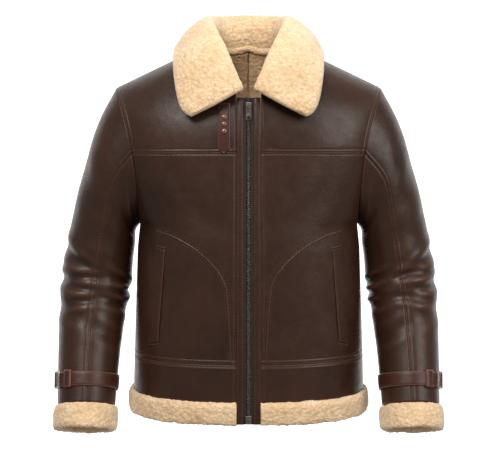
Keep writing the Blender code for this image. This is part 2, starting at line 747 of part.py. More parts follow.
def pushed_clear(points):
    """Moves the fall's points off the fronts by half the sheet and a little more."""
    need = COLLAR_THICK / 2 + COLLAR_CLEAR
    points = points.copy()
    x, y, z = points[..., 0], points[..., 1], points[..., 2]
    share = np.clip(np.abs(x) / SHOULDER_TIP_X, 0, 1)
    depth = np.where(y < 0, FRONT_DEPTH, BACK_DEPTH)
    turned = share_of_depth(share_to_t(share, CHEST_TURN), CHEST_TURN)
    sine = np.clip(np.abs(y) / (ARMHOLE_DEPTH + (depth - ARMHOLE_DEPTH) * turned), 0, 0.8)
    cosine = np.sqrt(1 - sine**2)
    top = YOKE_Z + (shoulder_z(np.abs(x)) - YOKE_Z) * cosine + need / cosine
    points[..., 2] = np.where((sine < 0.8) & (np.abs(x) > 0.05), np.maximum(z, top), z)
    z = points[..., 2]
    near = front_point(x, z, need)
    steep = (y < 0) & (sine >= 0.6)
    points[..., 1] = np.where(steep, np.minimum(y, near[..., 1]), y)
    return points


def make_collar():
    stations, seam = neck_line(1)
    centre = np.array([0, -0.02, 0])
    start = seam + unit(centre - seam) * 0.0055 + np.array([0, 0, 0.0065])
    start[0] = (0.0150, -0.131, -0.0860)
    lines = np.stack([start] + [collar_table(t, stations) for t in (
        COLLAR_STAND, COLLAR_ROLL, COLLAR_FALL, COLLAR_EDGE)])
    at = np.array([0, 0.5, 1, 1.4, 1.75, 2.1, 2.5, 3, 3.5, 4])
    half = smooth_rows(lines, at)
    half[4:] = pushed_clear(half[4:])
    mirrored = half[:, -2::-1].copy()
    mirrored[..., 0] *= -1
    middle = np.concatenate([half, mirrored], axis=1)
    normals = grid_normals(middle)
    thick = np.full(len(at), COLLAR_THICK / 2)
    thick[0] = 0.0022
    thick[1] = 0.0045
    thick[-1] = COLLAR_THICK * 0.36
    offset = normals * thick[:, None, None]
    wall("collar", middle + offset, middle - offset, "fleece")


# Cuff straps

def make_cuff_straps():
    """A strap round each forearm with its keeper, and a frame buckle fastened on it."""
    over = CUFF_STRAP_LIFT + CUFF_STRAP_THICK + SEAM
    for tag, side in SIDES:
        steps = np.arange(ARM_STEPS)
        wall("cuff_strap_" + tag, sleeve_grid(side, CUFF_STRAP_ROWS, steps, over - SEAM),
             sleeve_grid(side, CUFF_STRAP_ROWS, steps, CUFF_STRAP_LIFT), "strap_leather", around=True)
        wall("cuff_keeper_" + tag, sleeve_grid(side, KEEPER_ROWS, KEEPER_STEPS, over + KEEPER_THICK),
             sleeve_grid(side, KEEPER_ROWS, KEEPER_STEPS, over), "strap_leather")
        above, middle, below = sleeve_grid(side, BUCKLE_ROWS, BUCKLE_STEPS, over)
        ahead = unit(middle[1] - middle[0])
        up = unit(above[0] - below[0])
        out = unit(np.cross(ahead, up)) * side
        if np.dot(out, middle[0] - (side * 0.287, -0.06, middle[0][2])) < 0:
            out = -out
        centre = (middle[0] + middle[1]) / 2 + out * BUCKLE_OUT
        wide, high = BUCKLE_BAR
        rings = []
        for i, j in ((-1, -1), (1, -1), (1, 1), (-1, 1)):
            corner = centre + ahead * i * BUCKLE_HALF_LONG + up * j * BUCKLE_HALF_HIGH
            away = unit(ahead * i + up * j)
            rings.append([corner + away * a * wide + out * b * high
                          for a, b in ((1, 1), (-1, 1), (-1, -1), (1, -1))])
        tube("cuff_buckle_" + tag, np.array(rings), "bronze", closed=True)


def main():
    for old in list(bpy.data.objects):
        bpy.data.objects.remove(old)
    make_materials()
    make_fronts_and_back()
    make_sleeves()
    make_fleece_bands()
    make_zip()
    make_pockets()
    make_throat_strap()
    make_collar()
    make_cuff_straps()


main()
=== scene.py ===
"""Looks of the shearling jacket: leather, wool, stitching, zip and buckles round the frame."""

import math

import bmesh
import bpy
import numpy as np
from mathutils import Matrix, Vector, noise


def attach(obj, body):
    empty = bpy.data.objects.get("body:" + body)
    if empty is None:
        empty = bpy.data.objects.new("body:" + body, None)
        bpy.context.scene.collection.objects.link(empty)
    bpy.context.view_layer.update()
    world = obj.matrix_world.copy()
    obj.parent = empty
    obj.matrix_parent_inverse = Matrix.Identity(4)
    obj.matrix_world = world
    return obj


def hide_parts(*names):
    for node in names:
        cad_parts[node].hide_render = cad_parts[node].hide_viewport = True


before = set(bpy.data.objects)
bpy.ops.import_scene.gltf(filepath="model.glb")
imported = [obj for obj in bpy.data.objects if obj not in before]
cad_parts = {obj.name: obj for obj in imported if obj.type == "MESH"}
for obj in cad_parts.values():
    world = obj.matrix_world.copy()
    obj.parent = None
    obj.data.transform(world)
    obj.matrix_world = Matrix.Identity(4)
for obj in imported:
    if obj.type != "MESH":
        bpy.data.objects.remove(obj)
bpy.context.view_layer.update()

# Driving sizes
HIDE = 0.005
SEAM = 0.0003
YOKE_Z = -0.190
UNDERARM_Z = -0.315
HEM_SEAM_Z = -0.552
HEM_EDGE_Z = -0.617
HEM_BAND_Z = -0.656
PLACKET_END_Z = -0.654
NECK_SIDE_X = 0.080
NECK_SIDE_Z = 0.012
SHOULDER_SLOPE = 0.48
SHOULDER_TIP_X = 0.243
ARMHOLE_DEPTH = 0.090
ARMHOLE_FRONT_X = 0.2215
ARMHOLE_HOLLOW = 0.016
FRONT_DEPTH = 0.138
BACK_DEPTH = 0.125
BACK_NECK_ANGLE = math.radians(33)
V_BOTTOM_SINE = 0.885
SECTION_POWER = 0.87
CHEST_TURN = math.radians(66)
UNDERARM_SOFT = 0.25
# The last column stops about half a seam short of the side seam or the armhole
EDGE_T = 0.9997

# Zip and placket, distances from the centre line
TAPE_INNER = 0.0004
PLACKET_INNER = 0.0088
PLACKET_OUTER = 0.0204
ZIP_TOP_Z = -0.092

# Body below the underarm: height, half width at the side seam, front depth, back depth
BODY_SECTIONS = np.array([
    (HEM_BAND_Z - 0.02, 0.2110, 0.139, 0.119),
    (HEM_EDGE_Z, 0.2110, 0.140, 0.117),
    (HEM_SEAM_Z, 0.2095, 0.142, 0.114),
    (-0.450, 0.2065, 0.143, 0.111),
    (-0.360, 0.2040, 0.143, 0.114),
    (UNDERARM_Z, 0.2000, 0.142, 0.118),
    (YOKE_Z, 0.2000, FRONT_DEPTH, BACK_DEPTH),
])

# Sleeve rings after the armhole: outer edge x and z, inner edge x and z, middle y,
# half depth, and how far the ring is pitched up at the front, in degrees
SLEEVE_RINGS = np.array([
    (0.276, -0.130, 0.2095, -0.330, 0.000, 0.084, 0),
    (0.3045, -0.220, 0.2105, -0.352, 0.002, 0.079, 0),
    (0.3262, -0.310, 0.2145, -0.384, 0.004, 0.074, 1),
    (0.3415, -0.395, 0.2180, -0.430, 0.001, 0.069, 4),
    (0.3448, -0.470, 0.2265, -0.484, -0.016, 0.065, 9),
    (0.3425, -0.550, 0.2330, -0.553, -0.046, 0.060, 15),
    (0.3375, -0.634, 0.2365, -0.634, -0.082, 0.055, 20),
    (0.3360, -0.674, 0.2375, -0.674, -0.098, 0.054, 20),
])
CUFF_RING = 7.0
CUFF_END_RING = 8.0
SLEEVE_TWIST = math.radians(9)
FRONT_SEAM_STEP = 6
BACK_SEAM_STEP = 19
ARM_STEPS = 24
FRONT_SEAM = FRONT_SEAM_STEP * 360 / ARM_STEPS
BACK_SEAM = BACK_SEAM_STEP * 360 / ARM_STEPS

# Collar sheet: station (0 front end, 1 side of the neck, 2 back centre), then the middle
# of the sheet at the top of the stand, at the roll, half way down the fall and at its edge
COLLAR_STATIONS = np.array([0.0, 0.35, 0.70, 1.0, 1.5, 2.0])
COLLAR_STAND = np.array([
    (0.0135, -0.133, -0.0830),
    (0.0270, -0.124, -0.0490),
    (0.0470, -0.088, 0.0000),
    (0.0630, -0.016, 0.0340),
    (0.0430, 0.048, 0.0450),
    (0.0000, 0.060, 0.0500),
])
COLLAR_ROLL = np.array([
    (0.0160, -0.145, -0.0830),
    (0.0350, -0.137, -0.0430),
    (0.0590, -0.103, 0.0130),
    (0.0760, -0.014, 0.0560),
    (0.0520, 0.062, 0.0690),
    (0.0000, 0.073, 0.0730),
])
COLLAR_FALL = np.array([
    (0.0570, -0.150, -0.1060),
    (0.0770, -0.140, -0.0740),
    (0.0980, -0.110, -0.0200),
    (0.1150, -0.010, 0.0290),
    (0.0780, 0.096, 0.0360),
    (0.0000, 0.108, 0.0380),
])
COLLAR_EDGE = np.array([
    (0.0985, -0.144, -0.1260),
    (0.1160, -0.134, -0.1120),
    (0.1280, -0.110, -0.0680),
    (0.1340, -0.010, -0.0060),
    (0.0960, 0.112, -0.0280),
    (0.0000, 0.122, -0.0300),
])
COLLAR_THICK = 0.011
COLLAR_CLEAR = 0.0050

# Fleece bands: how far each stands out of the leather and how deep it goes inside
HEM_BAND_OUT = 0.0095
HEM_BAND_IN = 0.011
CUFF_BAND_OUT = 0.0070
CUFF_BAND_IN = 0.010

SIDES = (("R", -1), ("L", 1))
BODY = "jacket"
NECK_STEPS = 5

# Helpers for curves and grids

def smooth_rows(values, at):
    """Catmull-Rom through rows of values at 0, 1, 2 ...; at is an array of places."""
    values = np.asarray(values, float)
    last = len(values) - 1
    at = np.clip(np.asarray(at, float), 0, last)
    k = np.minimum(at.astype(int), last - 1)
    f = (at - k).reshape(at.shape + (1,) * (values.ndim - 1))
    p1 = values[k]
    p2 = values[k + 1]
    p0 = np.where((k > 0).reshape(f.shape), values[np.maximum(k - 1, 0)], 2 * p1 - p2)
    p3 = np.where((k < last - 1).reshape(f.shape), values[np.minimum(k + 2, last)], 2 * p2 - p1)
    return 0.5 * (2 * p1 + (p2 - p0) * f + (2 * p0 - 5 * p1 + 4 * p2 - p3) * f**2
                  + (3 * p1 - p0 - 3 * p2 + p3) * f**3)


def unit(v):
    return v / np.maximum(np.linalg.norm(v, axis=-1, keepdims=True), 1e-12)


def grid_normals(points):
    """Normals of a grid of points, rows by columns."""
    return unit(np.cross(np.gradient(points, axis=1), np.gradient(points, axis=0)))


# Body surface

def armhole_x(angle):
    cosine = np.cos(angle)
    hollow = ARMHOLE_HOLLOW * np.sin(angle) ** 2
    return ARMHOLE_FRONT_X + (SHOULDER_TIP_X - ARMHOLE_FRONT_X) * cosine - hollow


def shoulder_z(x):
    return NECK_SIDE_Z - SHOULDER_SLOPE * (x - NECK_SIDE_X)


ARMHOLE_RISE = shoulder_z(SHOULDER_TIP_X) - YOKE_Z
ARMHOLE_DROP = YOKE_Z - UNDERARM_Z


def armhole_point(angle, side):
    """Armhole ring: angle 0 at the shoulder tip, 90 degrees at the front, 180 underarm."""
    angle = np.asarray(angle, float)
    rise = np.where(np.cos(angle) > 0, ARMHOLE_RISE, ARMHOLE_DROP)
    return np.stack([side * armhole_x(angle), -ARMHOLE_DEPTH * np.sin(angle),
                     YOKE_Z + rise * np.cos(angle)], axis=-1)


def armhole_normal(angle, side):
    """The wall direction shared by both edges of the armhole seam."""
    angle = np.asarray(angle, float)
    outwards = side * 0.9 * np.maximum(0, -np.cos(angle))
    return unit(np.stack([outwards, -np.sin(angle), np.cos(angle)], axis=-1))


def above_zero(value, soft):
    """The value where it is over zero, else zero, with the turn between them rounded."""
    return (value + np.sqrt(value**2 + soft**2)) / 2


def lower_edge(z):
    """Edge x, how open the armhole is and turning angle of the section at height z."""
    table = BODY_SECTIONS
    angle = np.arccos(np.clip((z - YOKE_Z) / ARMHOLE_DROP, -1, 0))
    x = np.where(z > UNDERARM_Z, armhole_x(angle), np.interp(z, table[:, 0], table[:, 1]))
    opened = 1 - ((z - YOKE_Z) / ARMHOLE_DROP) ** 2
    return x, opened, math.pi / 2 - (math.pi / 2 - CHEST_TURN) * above_zero(opened, UNDERARM_SOFT)


def share_of_x(t, turn):
    return (np.sin(t * turn) / np.sin(turn)) ** SECTION_POWER


def share_to_t(share, turn):
    return np.arcsin(np.clip(share, 0, 1) ** (1 / SECTION_POWER) * np.sin(turn)) / turn


def share_of_depth(t, turn):
    edge = np.maximum(np.cos(turn), 0) ** SECTION_POWER
    return (np.maximum(np.cos(t * turn), 0) ** SECTION_POWER - edge) / (1 - edge)


def lower_point(t, z, side, face):
    """face -1 is the front, +1 the back. t runs from 0 at the centre to 1 at the edge."""
    table = BODY_SECTIONS
    edge_x, opened, turn = lower_edge(z)
    edge_y = ARMHOLE_DEPTH * np.sqrt(above_zero(opened, UNDERARM_SOFT * (1 - t)))
    depth = np.interp(z, table[:, 0], table[:, 2 if face < 0 else 3])
    x = edge_x * share_of_x(t, turn)
    y = edge_y + (depth - edge_y) * share_of_depth(t, turn)
    return np.stack([side * x, face * y, z + 0 * x], axis=-1)


def upper_point(t, angle, side, face):
    """Above the yoke seam: angle runs from 90 degrees at the seam to 0 on the shoulder."""
    depth = FRONT_DEPTH if face < 0 else BACK_DEPTH
    share = share_of_x(t, CHEST_TURN)
    reach = ARMHOLE_DEPTH + (depth - ARMHOLE_DEPTH) * share_of_depth(t, CHEST_TURN)
    top = shoulder_z(share * SHOULDER_TIP_X) - YOKE_Z
    return np.stack([side * share * armhole_x(angle), face * reach * np.sin(angle),
                     YOKE_Z + top * np.cos(angle)], axis=-1)


def body_grid(ts, heights, side, face, upper):
    """Points and normals of a patch; heights are z below the yoke, angles above."""
    make = upper_point if upper else lower_point
    points = make(ts, heights, side, face)
    step = 1e-4
    inner = np.clip(ts, 2 * step, 1 - 2 * step)
    across = make(inner + step, heights, side, face) - make(inner - step, heights, side, face)
    low = heights if upper else np.maximum(heights, HEM_BAND_Z - 0.015)
    along = make(inner, low + step, side, face) - make(inner, low - step, side, face)
    return points, unit(np.cross(across, along))


def patch(ts, heights, side, face, upper, lift):
    """The patch moved out by lift (in if negative) along the wall's own direction.

    Pieces that meet share that direction at their seam, so their edges stay side by side.
    """
    points, normals = body_grid(ts, heights, side, face, upper)
    centre = np.zeros_like(points)
    centre[..., 2] = YOKE_Z if upper else points[..., 2]
    normals = normals * np.sign(np.sum(normals * (points - centre), axis=-1, keepdims=True))
    at_yoke = np.clip(1 - np.abs(points[..., 2] - YOKE_Z) / 0.006, 0, 1)
    at_side = np.clip(1 - np.abs(points[..., 1]) / 0.006, 0, 1)
    normals[..., 2] *= 1 - at_yoke
    normals[..., 1] *= 1 - at_side
    if upper:
        angle = heights + 0 * ts
    else:
        angle = np.arccos(np.clip((heights + 0 * ts - YOKE_Z) / ARMHOLE_DROP, -1, 0))
    shared = armhole_normal(np.where(face < 0, angle, 2 * math.pi - angle), side)
    at_arm = (np.clip((ts - 0.97) / 0.02, 0, 1) + 0 * angle) * (points[..., 2] > UNDERARM_Z - 0.001)
    normals = unit(normals) * (1 - at_arm[..., None]) + shared * at_arm[..., None]
    return points + unit(normals) * np.asarray(lift, float)[..., None]


def neck_angle(share, face):
    """Angle at which the column of this share of x meets the neck line."""
    end = NECK_SIDE_X / SHOULDER_TIP_X
    if face < 0:
        start = PLACKET_OUTER / SHOULDER_TIP_X
        q = np.clip((share - start) / (end - start), 0, 1)
        return np.arcsin(V_BOTTOM_SINE * (1 - q**1.25) ** (1 / 1.25))
    q = np.clip(share / end, 0, 1)
    return np.arcsin(math.sin(BACK_NECK_ANGLE) * np.sqrt(1 - q**2))


def column_shares(start):
    """Shares of x, from the centre edge over the neck to the armhole."""
    neck = NECK_SIDE_X / SHOULDER_TIP_X
    return np.concatenate([np.linspace(start, neck, NECK_STEPS + 1),
                           np.linspace(neck, 1, 6)[1:]])


def front_point(x, z, lift):
    """Point of the front at this x and z, moved out by lift along the surface's normal."""
    x = np.asarray(x, float) + 0 * np.asarray(z, float)
    z = np.asarray(z, float) + 0 * x
    side = np.where(x < 0, -1.0, 1.0)
    edge_x, _, turn = lower_edge(np.minimum(z, YOKE_Z))
    low_t = share_to_t(np.abs(x) / edge_x, turn)
    low = patch(low_t, np.minimum(z, YOKE_Z), side, -1, False, 0)
    share = np.clip(np.abs(x) / 0.22, 0, 1)
    for _ in range(12):
        rise = shoulder_z(share * SHOULDER_TIP_X) - YOKE_Z
        angle = np.arccos(np.clip((z - YOKE_Z) / rise, 0, 1))
        share = np.clip(np.abs(x) / armhole_x(angle), 0, 1)
    high = upper_point(share_to_t(share, CHEST_TURN), angle, side, -1)
    surface = np.where((z > YOKE_Z)[..., None], high, low)
    if np.ndim(lift) == 0 and lift == 0:
        return surface
    step = 0.001
    across = front_point(x + step, z, 0) - front_point(x - step, z, 0)
    along = front_point(x, z + step, 0) - front_point(x, z - step, 0)
    normal = unit(np.cross(across, along))
    return surface + normal * np.asarray(lift)[..., None]


# Collar lines

def collar_table(table, w):
    """Smooth values of a collar line at stations w, mirrored past the back centre."""
    place = np.interp(w, COLLAR_STATIONS, np.arange(len(COLLAR_STATIONS)))
    mirrored = table[::-1].copy()
    mirrored[:, 0] *= -1
    return smooth_rows(np.concatenate([table, mirrored[1:]]), place)


def neck_line(side):
    """Stations 0 to 2 along half the neck and the points of the seam there."""
    points = []
    stations = []
    for face in (-1, 1):
        start = (PLACKET_OUTER + SEAM) / armhole_x(math.pi / 2) if face < 0 else 0.0
        shares = column_shares(start)[:NECK_STEPS + 1]
        ts = share_to_t(shares, CHEST_TURN)
        line = upper_point(ts, neck_angle(shares, face), side, face)
        part = np.linspace(0, 1, NECK_STEPS + 1)
        if face < 0:
            points.append(line)
            stations.append(part)
        else:
            points.append(line[::-1][1:])
            stations.append(1 + part[1:])
    return np.concatenate(stations), np.concatenate(points)


def pushed_clear(points):
    """Moves the fall's points off the fronts by half the sheet and a little more."""
    need = COLLAR_THICK / 2 + COLLAR_CLEAR
    points = points.copy()
    x, y, z = points[..., 0], points[..., 1], points[..., 2]
    share = np.clip(np.abs(x) / SHOULDER_TIP_X, 0, 1)
    depth = np.where(y < 0, FRONT_DEPTH, BACK_DEPTH)
    turned = share_of_depth(share_to_t(share, CHEST_TURN), CHEST_TURN)
    sine = np.clip(np.abs(y) / (ARMHOLE_DEPTH + (depth - ARMHOLE_DEPTH) * turned), 0, 0.8)
    cosine = np.sqrt(1 - sine**2)
    top = YOKE_Z + (shoulder_z(np.abs(x)) - YOKE_Z) * cosine + need / cosine
    points[..., 2] = np.where((sine < 0.8) & (np.abs(x) > 0.05), np.maximum(z, top), z)
    z = points[..., 2]
    near = front_point(x, z, need)
    steep = (y < 0) & (sine >= 0.6)
    points[..., 1] = np.where(steep, np.minimum(y, near[..., 1]), y)
    return points


# Leather

LEATHER_DARK = (0.0230, 0.0095, 0.0052)
LEATHER_MID = (0.0440, 0.0180, 0.0098)
LEATHER_WORN = (0.0950, 0.0420, 0.0250)
STRAP_DARK = (0.0330, 0.0108, 0.0056)
STRAP_MID = (0.0600, 0.0195, 0.0098)
# The deep wool colour is painted shade, laid into the wool's hollows between curls and tufts
WOOL_HOLLOW_SHADE = (0.52, 0.300, 0.130)
WOOL_MID = (0.74, 0.505, 0.280)
WOOL_LIGHT = (0.87, 0.670, 0.430)


class Nodes:
    """A material's node tree, with short calls for the nodes used here."""

    def __init__(self, name):
        self.material = bpy.data.materials.new(name)
        self.material.use_nodes = True
        self.tree = self.material.node_tree
        self.shader = self.tree.nodes["Principled BSDF"]
        self.place = self.add("ShaderNodeTexCoord").outputs["Object"]

    def add(self, kind, **values):
        node = self.tree.nodes.new(kind)
        for key, value in values.items():
            setattr(node, key, value)
        return node

    def link(self, start, end):
        self.tree.links.new(start, end)

    def noise(self, scale, detail=4.0, rough=0.55, stretch=None):
        node = self.add("ShaderNodeTexNoise")
        node.inputs["Scale"].default_value = scale
        node.inputs["Detail"].default_value = detail
        node.inputs["Roughness"].default_value = rough
        place = self.place
        if stretch:
            mapped = self.add("ShaderNodeMapping")
            mapped.inputs["Scale"].default_value = stretch
            self.link(place, mapped.inputs["Vector"])
            place = mapped.outputs["Vector"]
        self.link(place, node.inputs["Vector"])
        return node.outputs["Fac"]

    def cells(self, scale):
        node = self.add("ShaderNodeTexVoronoi")
        node.inputs["Scale"].default_value = scale
        self.link(self.place, node.inputs["Vector"])
        return node.outputs["Distance"]

    def ramp(self, value, stops):
        node = self.add("ShaderNodeValToRGB")
        ramp = node.color_ramp
        while len(ramp.elements) < len(stops):
            ramp.elements.new(0.5)
        for element, (at, colour) in zip(ramp.elements, stops):
            element.position = at
            element.color = (*colour, 1)
        self.link(value, node.inputs["Fac"])
        return node.outputs["Color"]

    def spread(self, value, low, high, start=0.3, end=0.7):
        node = self.add("ShaderNodeMapRange")
        for key, number in (("From Min", start), ("From Max", end), ("To Min", low), ("To Max", high)):
            node.inputs[key].default_value = number
        self.link(value, node.inputs["Value"])
        return node.outputs["Result"]

    def mix(self, share, first, second):
        node = self.add("ShaderNodeMix", data_type="RGBA")
        self.link(share, node.inputs["Factor"])
        self.link(first, node.inputs["A"])
        if isinstance(second, tuple):
            node.inputs["B"].default_value = (*second, 1)
        else:
            self.link(second, node.inputs["B"])
        return node.outputs["Result"]

    def bump(self, height, strength, distance, under=None):
        node = self.add("ShaderNodeBump")
        node.inputs["Strength"].default_value = strength
        node.inputs["Distance"].default_value = distance
        self.link(height, node.inputs["Height"])
        if under:
            self.link(under, node.inputs["Normal"])
        return node.outputs["Normal"]


def leather(name, dark, mid, worn, rough=(0.30, 0.43)):
    n = Nodes(name)
    clouds = n.noise(7, 5, 0.6)
    mottled = n.noise(60, 4, 0.65)
    colour = n.ramp(clouds, ((0.30, dark), (0.72, mid)))
    colour = n.mix(n.spread(mottled, 0.0, 0.35, 0.45, 0.75), colour, mid)
    edge = n.add("ShaderNodeNewGeometry").outputs["Pointiness"]
    colour = n.mix(n.spread(edge, 0.0, 0.75, 0.505, 0.56), colour, worn)
    n.link(colour, n.shader.inputs["Base Color"])
    n.link(n.spread(mottled, *rough), n.shader.inputs["Roughness"])
    grain = n.bump(n.cells(620), 0.22, 0.00035)
    creased = n.bump(n.noise(190, 6, 0.7), 0.30, 0.0006, grain)
    soft = n.bump(n.noise(26, 4, 0.55), 0.45, 0.0022, creased)
    n.link(soft, n.shader.inputs["Normal"])
    n.shader.inputs["Specular IOR Level"].default_value = 0.30
    return n.material


def wool(name, deep, mid, light):
    n = Nodes(name)
    curls = n.cells(150)
    tufts = n.noise(210, 5, 0.7)
    colour = n.ramp(n.noise(28, 4, 0.6), ((0.30, mid), (0.72, light)))
    # Painted shade: the deep colour darkens the wool away from the curl centres and where the tufts dip, the
    # low places of the bumps below
    colour = n.mix(n.spread(curls, 0.0, 0.45, 0.45, 0.95), colour, deep)
    colour = n.mix(n.spread(tufts, 0.0, 0.40, 0.55, 0.30), colour, deep)
    # Painted shade in the hollows: concave spots, where Pointiness is low, take the deep colour
    hollow = n.add("ShaderNodeNewGeometry").outputs["Pointiness"]
    colour = n.mix(n.spread(hollow, 0.75, 0.0, 0.44, 0.50), colour, deep)
    n.link(colour, n.shader.inputs["Base Color"])
    n.shader.inputs["Roughness"].default_value = 0.95
    n.shader.inputs["Specular IOR Level"].default_value = 0.12
    n.shader.inputs["Sheen Weight"].default_value = 0.35
    n.shader.inputs["Sheen Roughness"].default_value = 0.6
    n.shader.inputs["Subsurface Weight"].default_value = 0.12
    n.shader.inputs["Subsurface Scale"].default_value = 0.006
    fine = n.bump(tufts, 0.7, 0.0018, n.bump(n.cells(330), 0.5, -0.0012))
    n.link(n.bump(curls, 0.6, -0.0025, fine), n.shader.inputs["Normal"])
    return n.material


def metal(name, dark, light, rough):
    n = Nodes(name)
    n.link(n.ramp(n.noise(260, 5, 0.7), ((0.35, dark), (0.68, light))), n.shader.inputs["Base Color"])
    n.link(n.spread(n.noise(420, 4), rough, rough + 0.18), n.shader.inputs["Roughness"])
    n.shader.inputs["Metallic"].default_value = 1.0
    n.link(n.bump(n.noise(500, 4), 0.25, 0.0003), n.shader.inputs["Normal"])
    return n.material


def woven(name, dark, light):
    n = Nodes(name)
    weave = n.noise(900, 2, 0.5, (1, 1, 0.35))
    n.link(n.ramp(weave, ((0.35, dark), (0.65, light))), n.shader.inputs["Base Color"])
    n.shader.inputs["Roughness"].default_value = 0.85
    n.link(n.bump(weave, 0.5, 0.0006), n.shader.inputs["Normal"])
    return n.material


LEATHER = leather("brown_hide", LEATHER_DARK, LEATHER_MID, LEATHER_WORN)
STRAP = leather("red_brown_hide", STRAP_DARK, STRAP_MID, (0.17, 0.075, 0.045), (0.34, 0.46))
WOOL = wool("cream_wool", WOOL_HOLLOW_SHADE, WOOL_MID, WOOL_LIGHT)
INNER_WOOL = wool("inner_wool", (0.46, 0.26, 0.11), (0.72, 0.46, 0.23), (0.82, 0.58, 0.34))
THREAD = leather("brown_thread", (0.030, 0.014, 0.009), (0.062, 0.030, 0.018), (0.10, 0.05, 0.03))
TAPE = woven("dark_tape", (0.012, 0.008, 0.007), (0.030, 0.021, 0.018))
TEETH = metal("dark_teeth", (0.045, 0.038, 0.032), (0.15, 0.125, 0.10), 0.38)
BRONZE = metal("old_bronze", (0.10, 0.085, 0.070), (0.36, 0.315, 0.26), 0.30)
COPPER = metal("warm_copper", (0.17, 0.075, 0.048), (0.40, 0.20, 0.135), 0.34)

# Meshes

def piece(name, points, faces, material, replaced=(), second=None, second_from=None):
    mesh = bpy.data.meshes.new(name)
    mesh.from_pydata(np.asarray(points).tolist(), [], faces)
    mesh.materials.append(material)
    if second:
        mesh.materials.append(second)
        for polygon in mesh.polygons[second_from[0]:second_from[1]]:
            polygon.material_index = 1
    mesh.shade_smooth()
    made = bpy.data.objects.new(name, mesh)
    bpy.context.scene.collection.objects.link(made)
    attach(made, BODY)
    if replaced:
        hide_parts(*replaced)
    return made


def quads(rows, columns, around, start, turned):
    r = np.arange(rows - 1)[:, None]
    c = np.arange(columns if around else columns - 1)[None, :]
    n = (c + 1) % columns
    a, b = r * columns + c, r * columns + n
    d, e = (r + 1) * columns + c, (r + 1) * columns + n
    order = (a, d, e, b) if turned else (a, b, e, d)
    return (np.stack(np.broadcast_arrays(*order), axis=-1).reshape(-1, 4) + start).tolist()


def wall(name, outer, inner, material, replaced=(), inside=None, around=False):
    """Closed wall between two grids, wound so that its faces point out."""
    rows, columns = outer.shape[:2]
    count = rows * columns
    middle = (rows // 2, columns // 2)
    across = outer[middle[0], middle[1] - 1] - outer[middle[0], middle[1]]
    down = outer[middle[0] - 1, middle[1]] - outer[middle[0], middle[1]]
    away = outer[middle] - inner[middle]
    turned = np.dot(np.cross(across, down), away) < 0
    faces = quads(rows, columns, around, 0, turned)
    first = len(faces)
    faces += quads(rows, columns, around, count, not turned)
    last = len(faces)
    edges = [(r * columns + c, r * columns + (c + 1) % columns, r == 0)
             for r in (0, rows - 1) for c in range(columns if around else columns - 1)]
    if not around:
        edges += [(r * columns + c, (r + 1) * columns + c, c != 0)
                  for c in (0, columns - 1) for r in range(rows - 1)]
    for a, b, flip in edges:
        face = (a, b, b + count, a + count)
        faces.append(face[::-1] if flip != turned else face)
    points = np.concatenate([outer.reshape(-1, 3), inner.reshape(-1, 3)])
    return piece(name, points, faces, material, replaced, inside, (first, last))


def turn_outwards(made):
    """Turns the faces of a closed piece outwards."""
    work = bmesh.new()
    work.from_mesh(made.data)
    bmesh.ops.recalc_face_normals(work, faces=work.faces)
    work.to_mesh(made.data)
    work.free()


def tube(name, rings, material, replaced=(), around=False):
    """Closed piece from rows that run along it, one row for each step round it."""
    count, size = rings.shape[:2]
    faces = []
    for r in range(count):
        this, following = r * size, (r + 1) % count * size
        for c in range(size if around else size - 1):
            n = (c + 1) % size
            faces.append((this + c, following + c, following + n, this + n))
    if not around:
        faces.append(tuple(r * size for r in range(count)))
        faces.append(tuple(r * size + size - 1 for r in range(count - 1, -1, -1)))
    made = piece(name, rings.reshape(-1, 3), faces, material, replaced)
    turn_outwards(made)
    return made


# Cloth panels with turned seams

EDGE_DIP = 0.0010
EDGE_WIDE = 0.0012
STITCH_DIP = 0.0007
STITCH_WIDE = 0.0010
DOUBLE = (0.0030, 0.0085)
SINGLE = (0.0030,)
NEAR = np.array([0, 0.0006, 0.0013, 0.002, 0.0026, 0.003, 0.0034, 0.0042, 0.0055, 0.0068,
                 0.0078, 0.0085, 0.0092, 0.0102, 0.0125])


def stations(length, coarse):
    near = NEAR[NEAR < length / 2]
    gap = length - 2 * near[-1]
    middle = np.linspace(near[-1], length - near[-1], max(2, int(gap / coarse) + 1))[1:-1]
    return np.concatenate([near, middle, length - near[::-1]])


def seam_relief(distance, lines):
    """Depth of a turned edge with rows of stitching at the given distances from it."""
    relief = -EDGE_DIP * np.exp(-(distance / EDGE_WIDE) ** 2)
    for line in lines:
        relief = relief - STITCH_DIP * np.exp(-((distance - line) / STITCH_WIDE) ** 2)
    if lines:
        relief = relief + 0.0004 * np.exp(-((distance - 0.0058) / 0.0020) ** 2)
    return relief


def lengths(points, axis):
    steps = np.linalg.norm(np.diff(points, axis=axis), axis=-1)
    zero = np.zeros_like(np.take(steps, [0], axis=axis))
    return np.concatenate([zero, np.cumsum(steps, axis=axis)], axis=axis)


def cloth(name, make, edges, coarse, replaced, relief=None):
    """A leather panel: make(u, v, lift) gives its points, edges the stitching at each side."""
    probe = np.linspace(0, 1, 160)
    half = np.array([0.5])
    along_u = lengths(make(probe[None, :], half[:, None], 0), 1)[0]
    along_v = lengths(make(half[None, :], probe[:, None], 0), 0)[:, 0]
    us = np.interp(stations(along_u[-1], coarse), along_u, probe)[None, :]
    vs = np.interp(stations(along_v[-1], coarse), along_v, probe)[:, None]
    flat = make(us, vs, 0)
    du = lengths(flat, 1)
    dv = lengths(flat, 0)
    left, right, bottom, top = edges
    out = (seam_relief(du, left) + seam_relief(du[:, -1:] - du, right)
           + seam_relief(dv, bottom) + seam_relief(dv[-1:] - dv, top))
    if relief:
        out = out + relief(us, vs, flat)
    outer = make(us, vs, out)
    inner = make(us, vs, np.minimum(out, 0) - HIDE * 0.7)
    made = wall(name, outer, inner, LEATHER, replaced, INNER_WOOL)
    return made


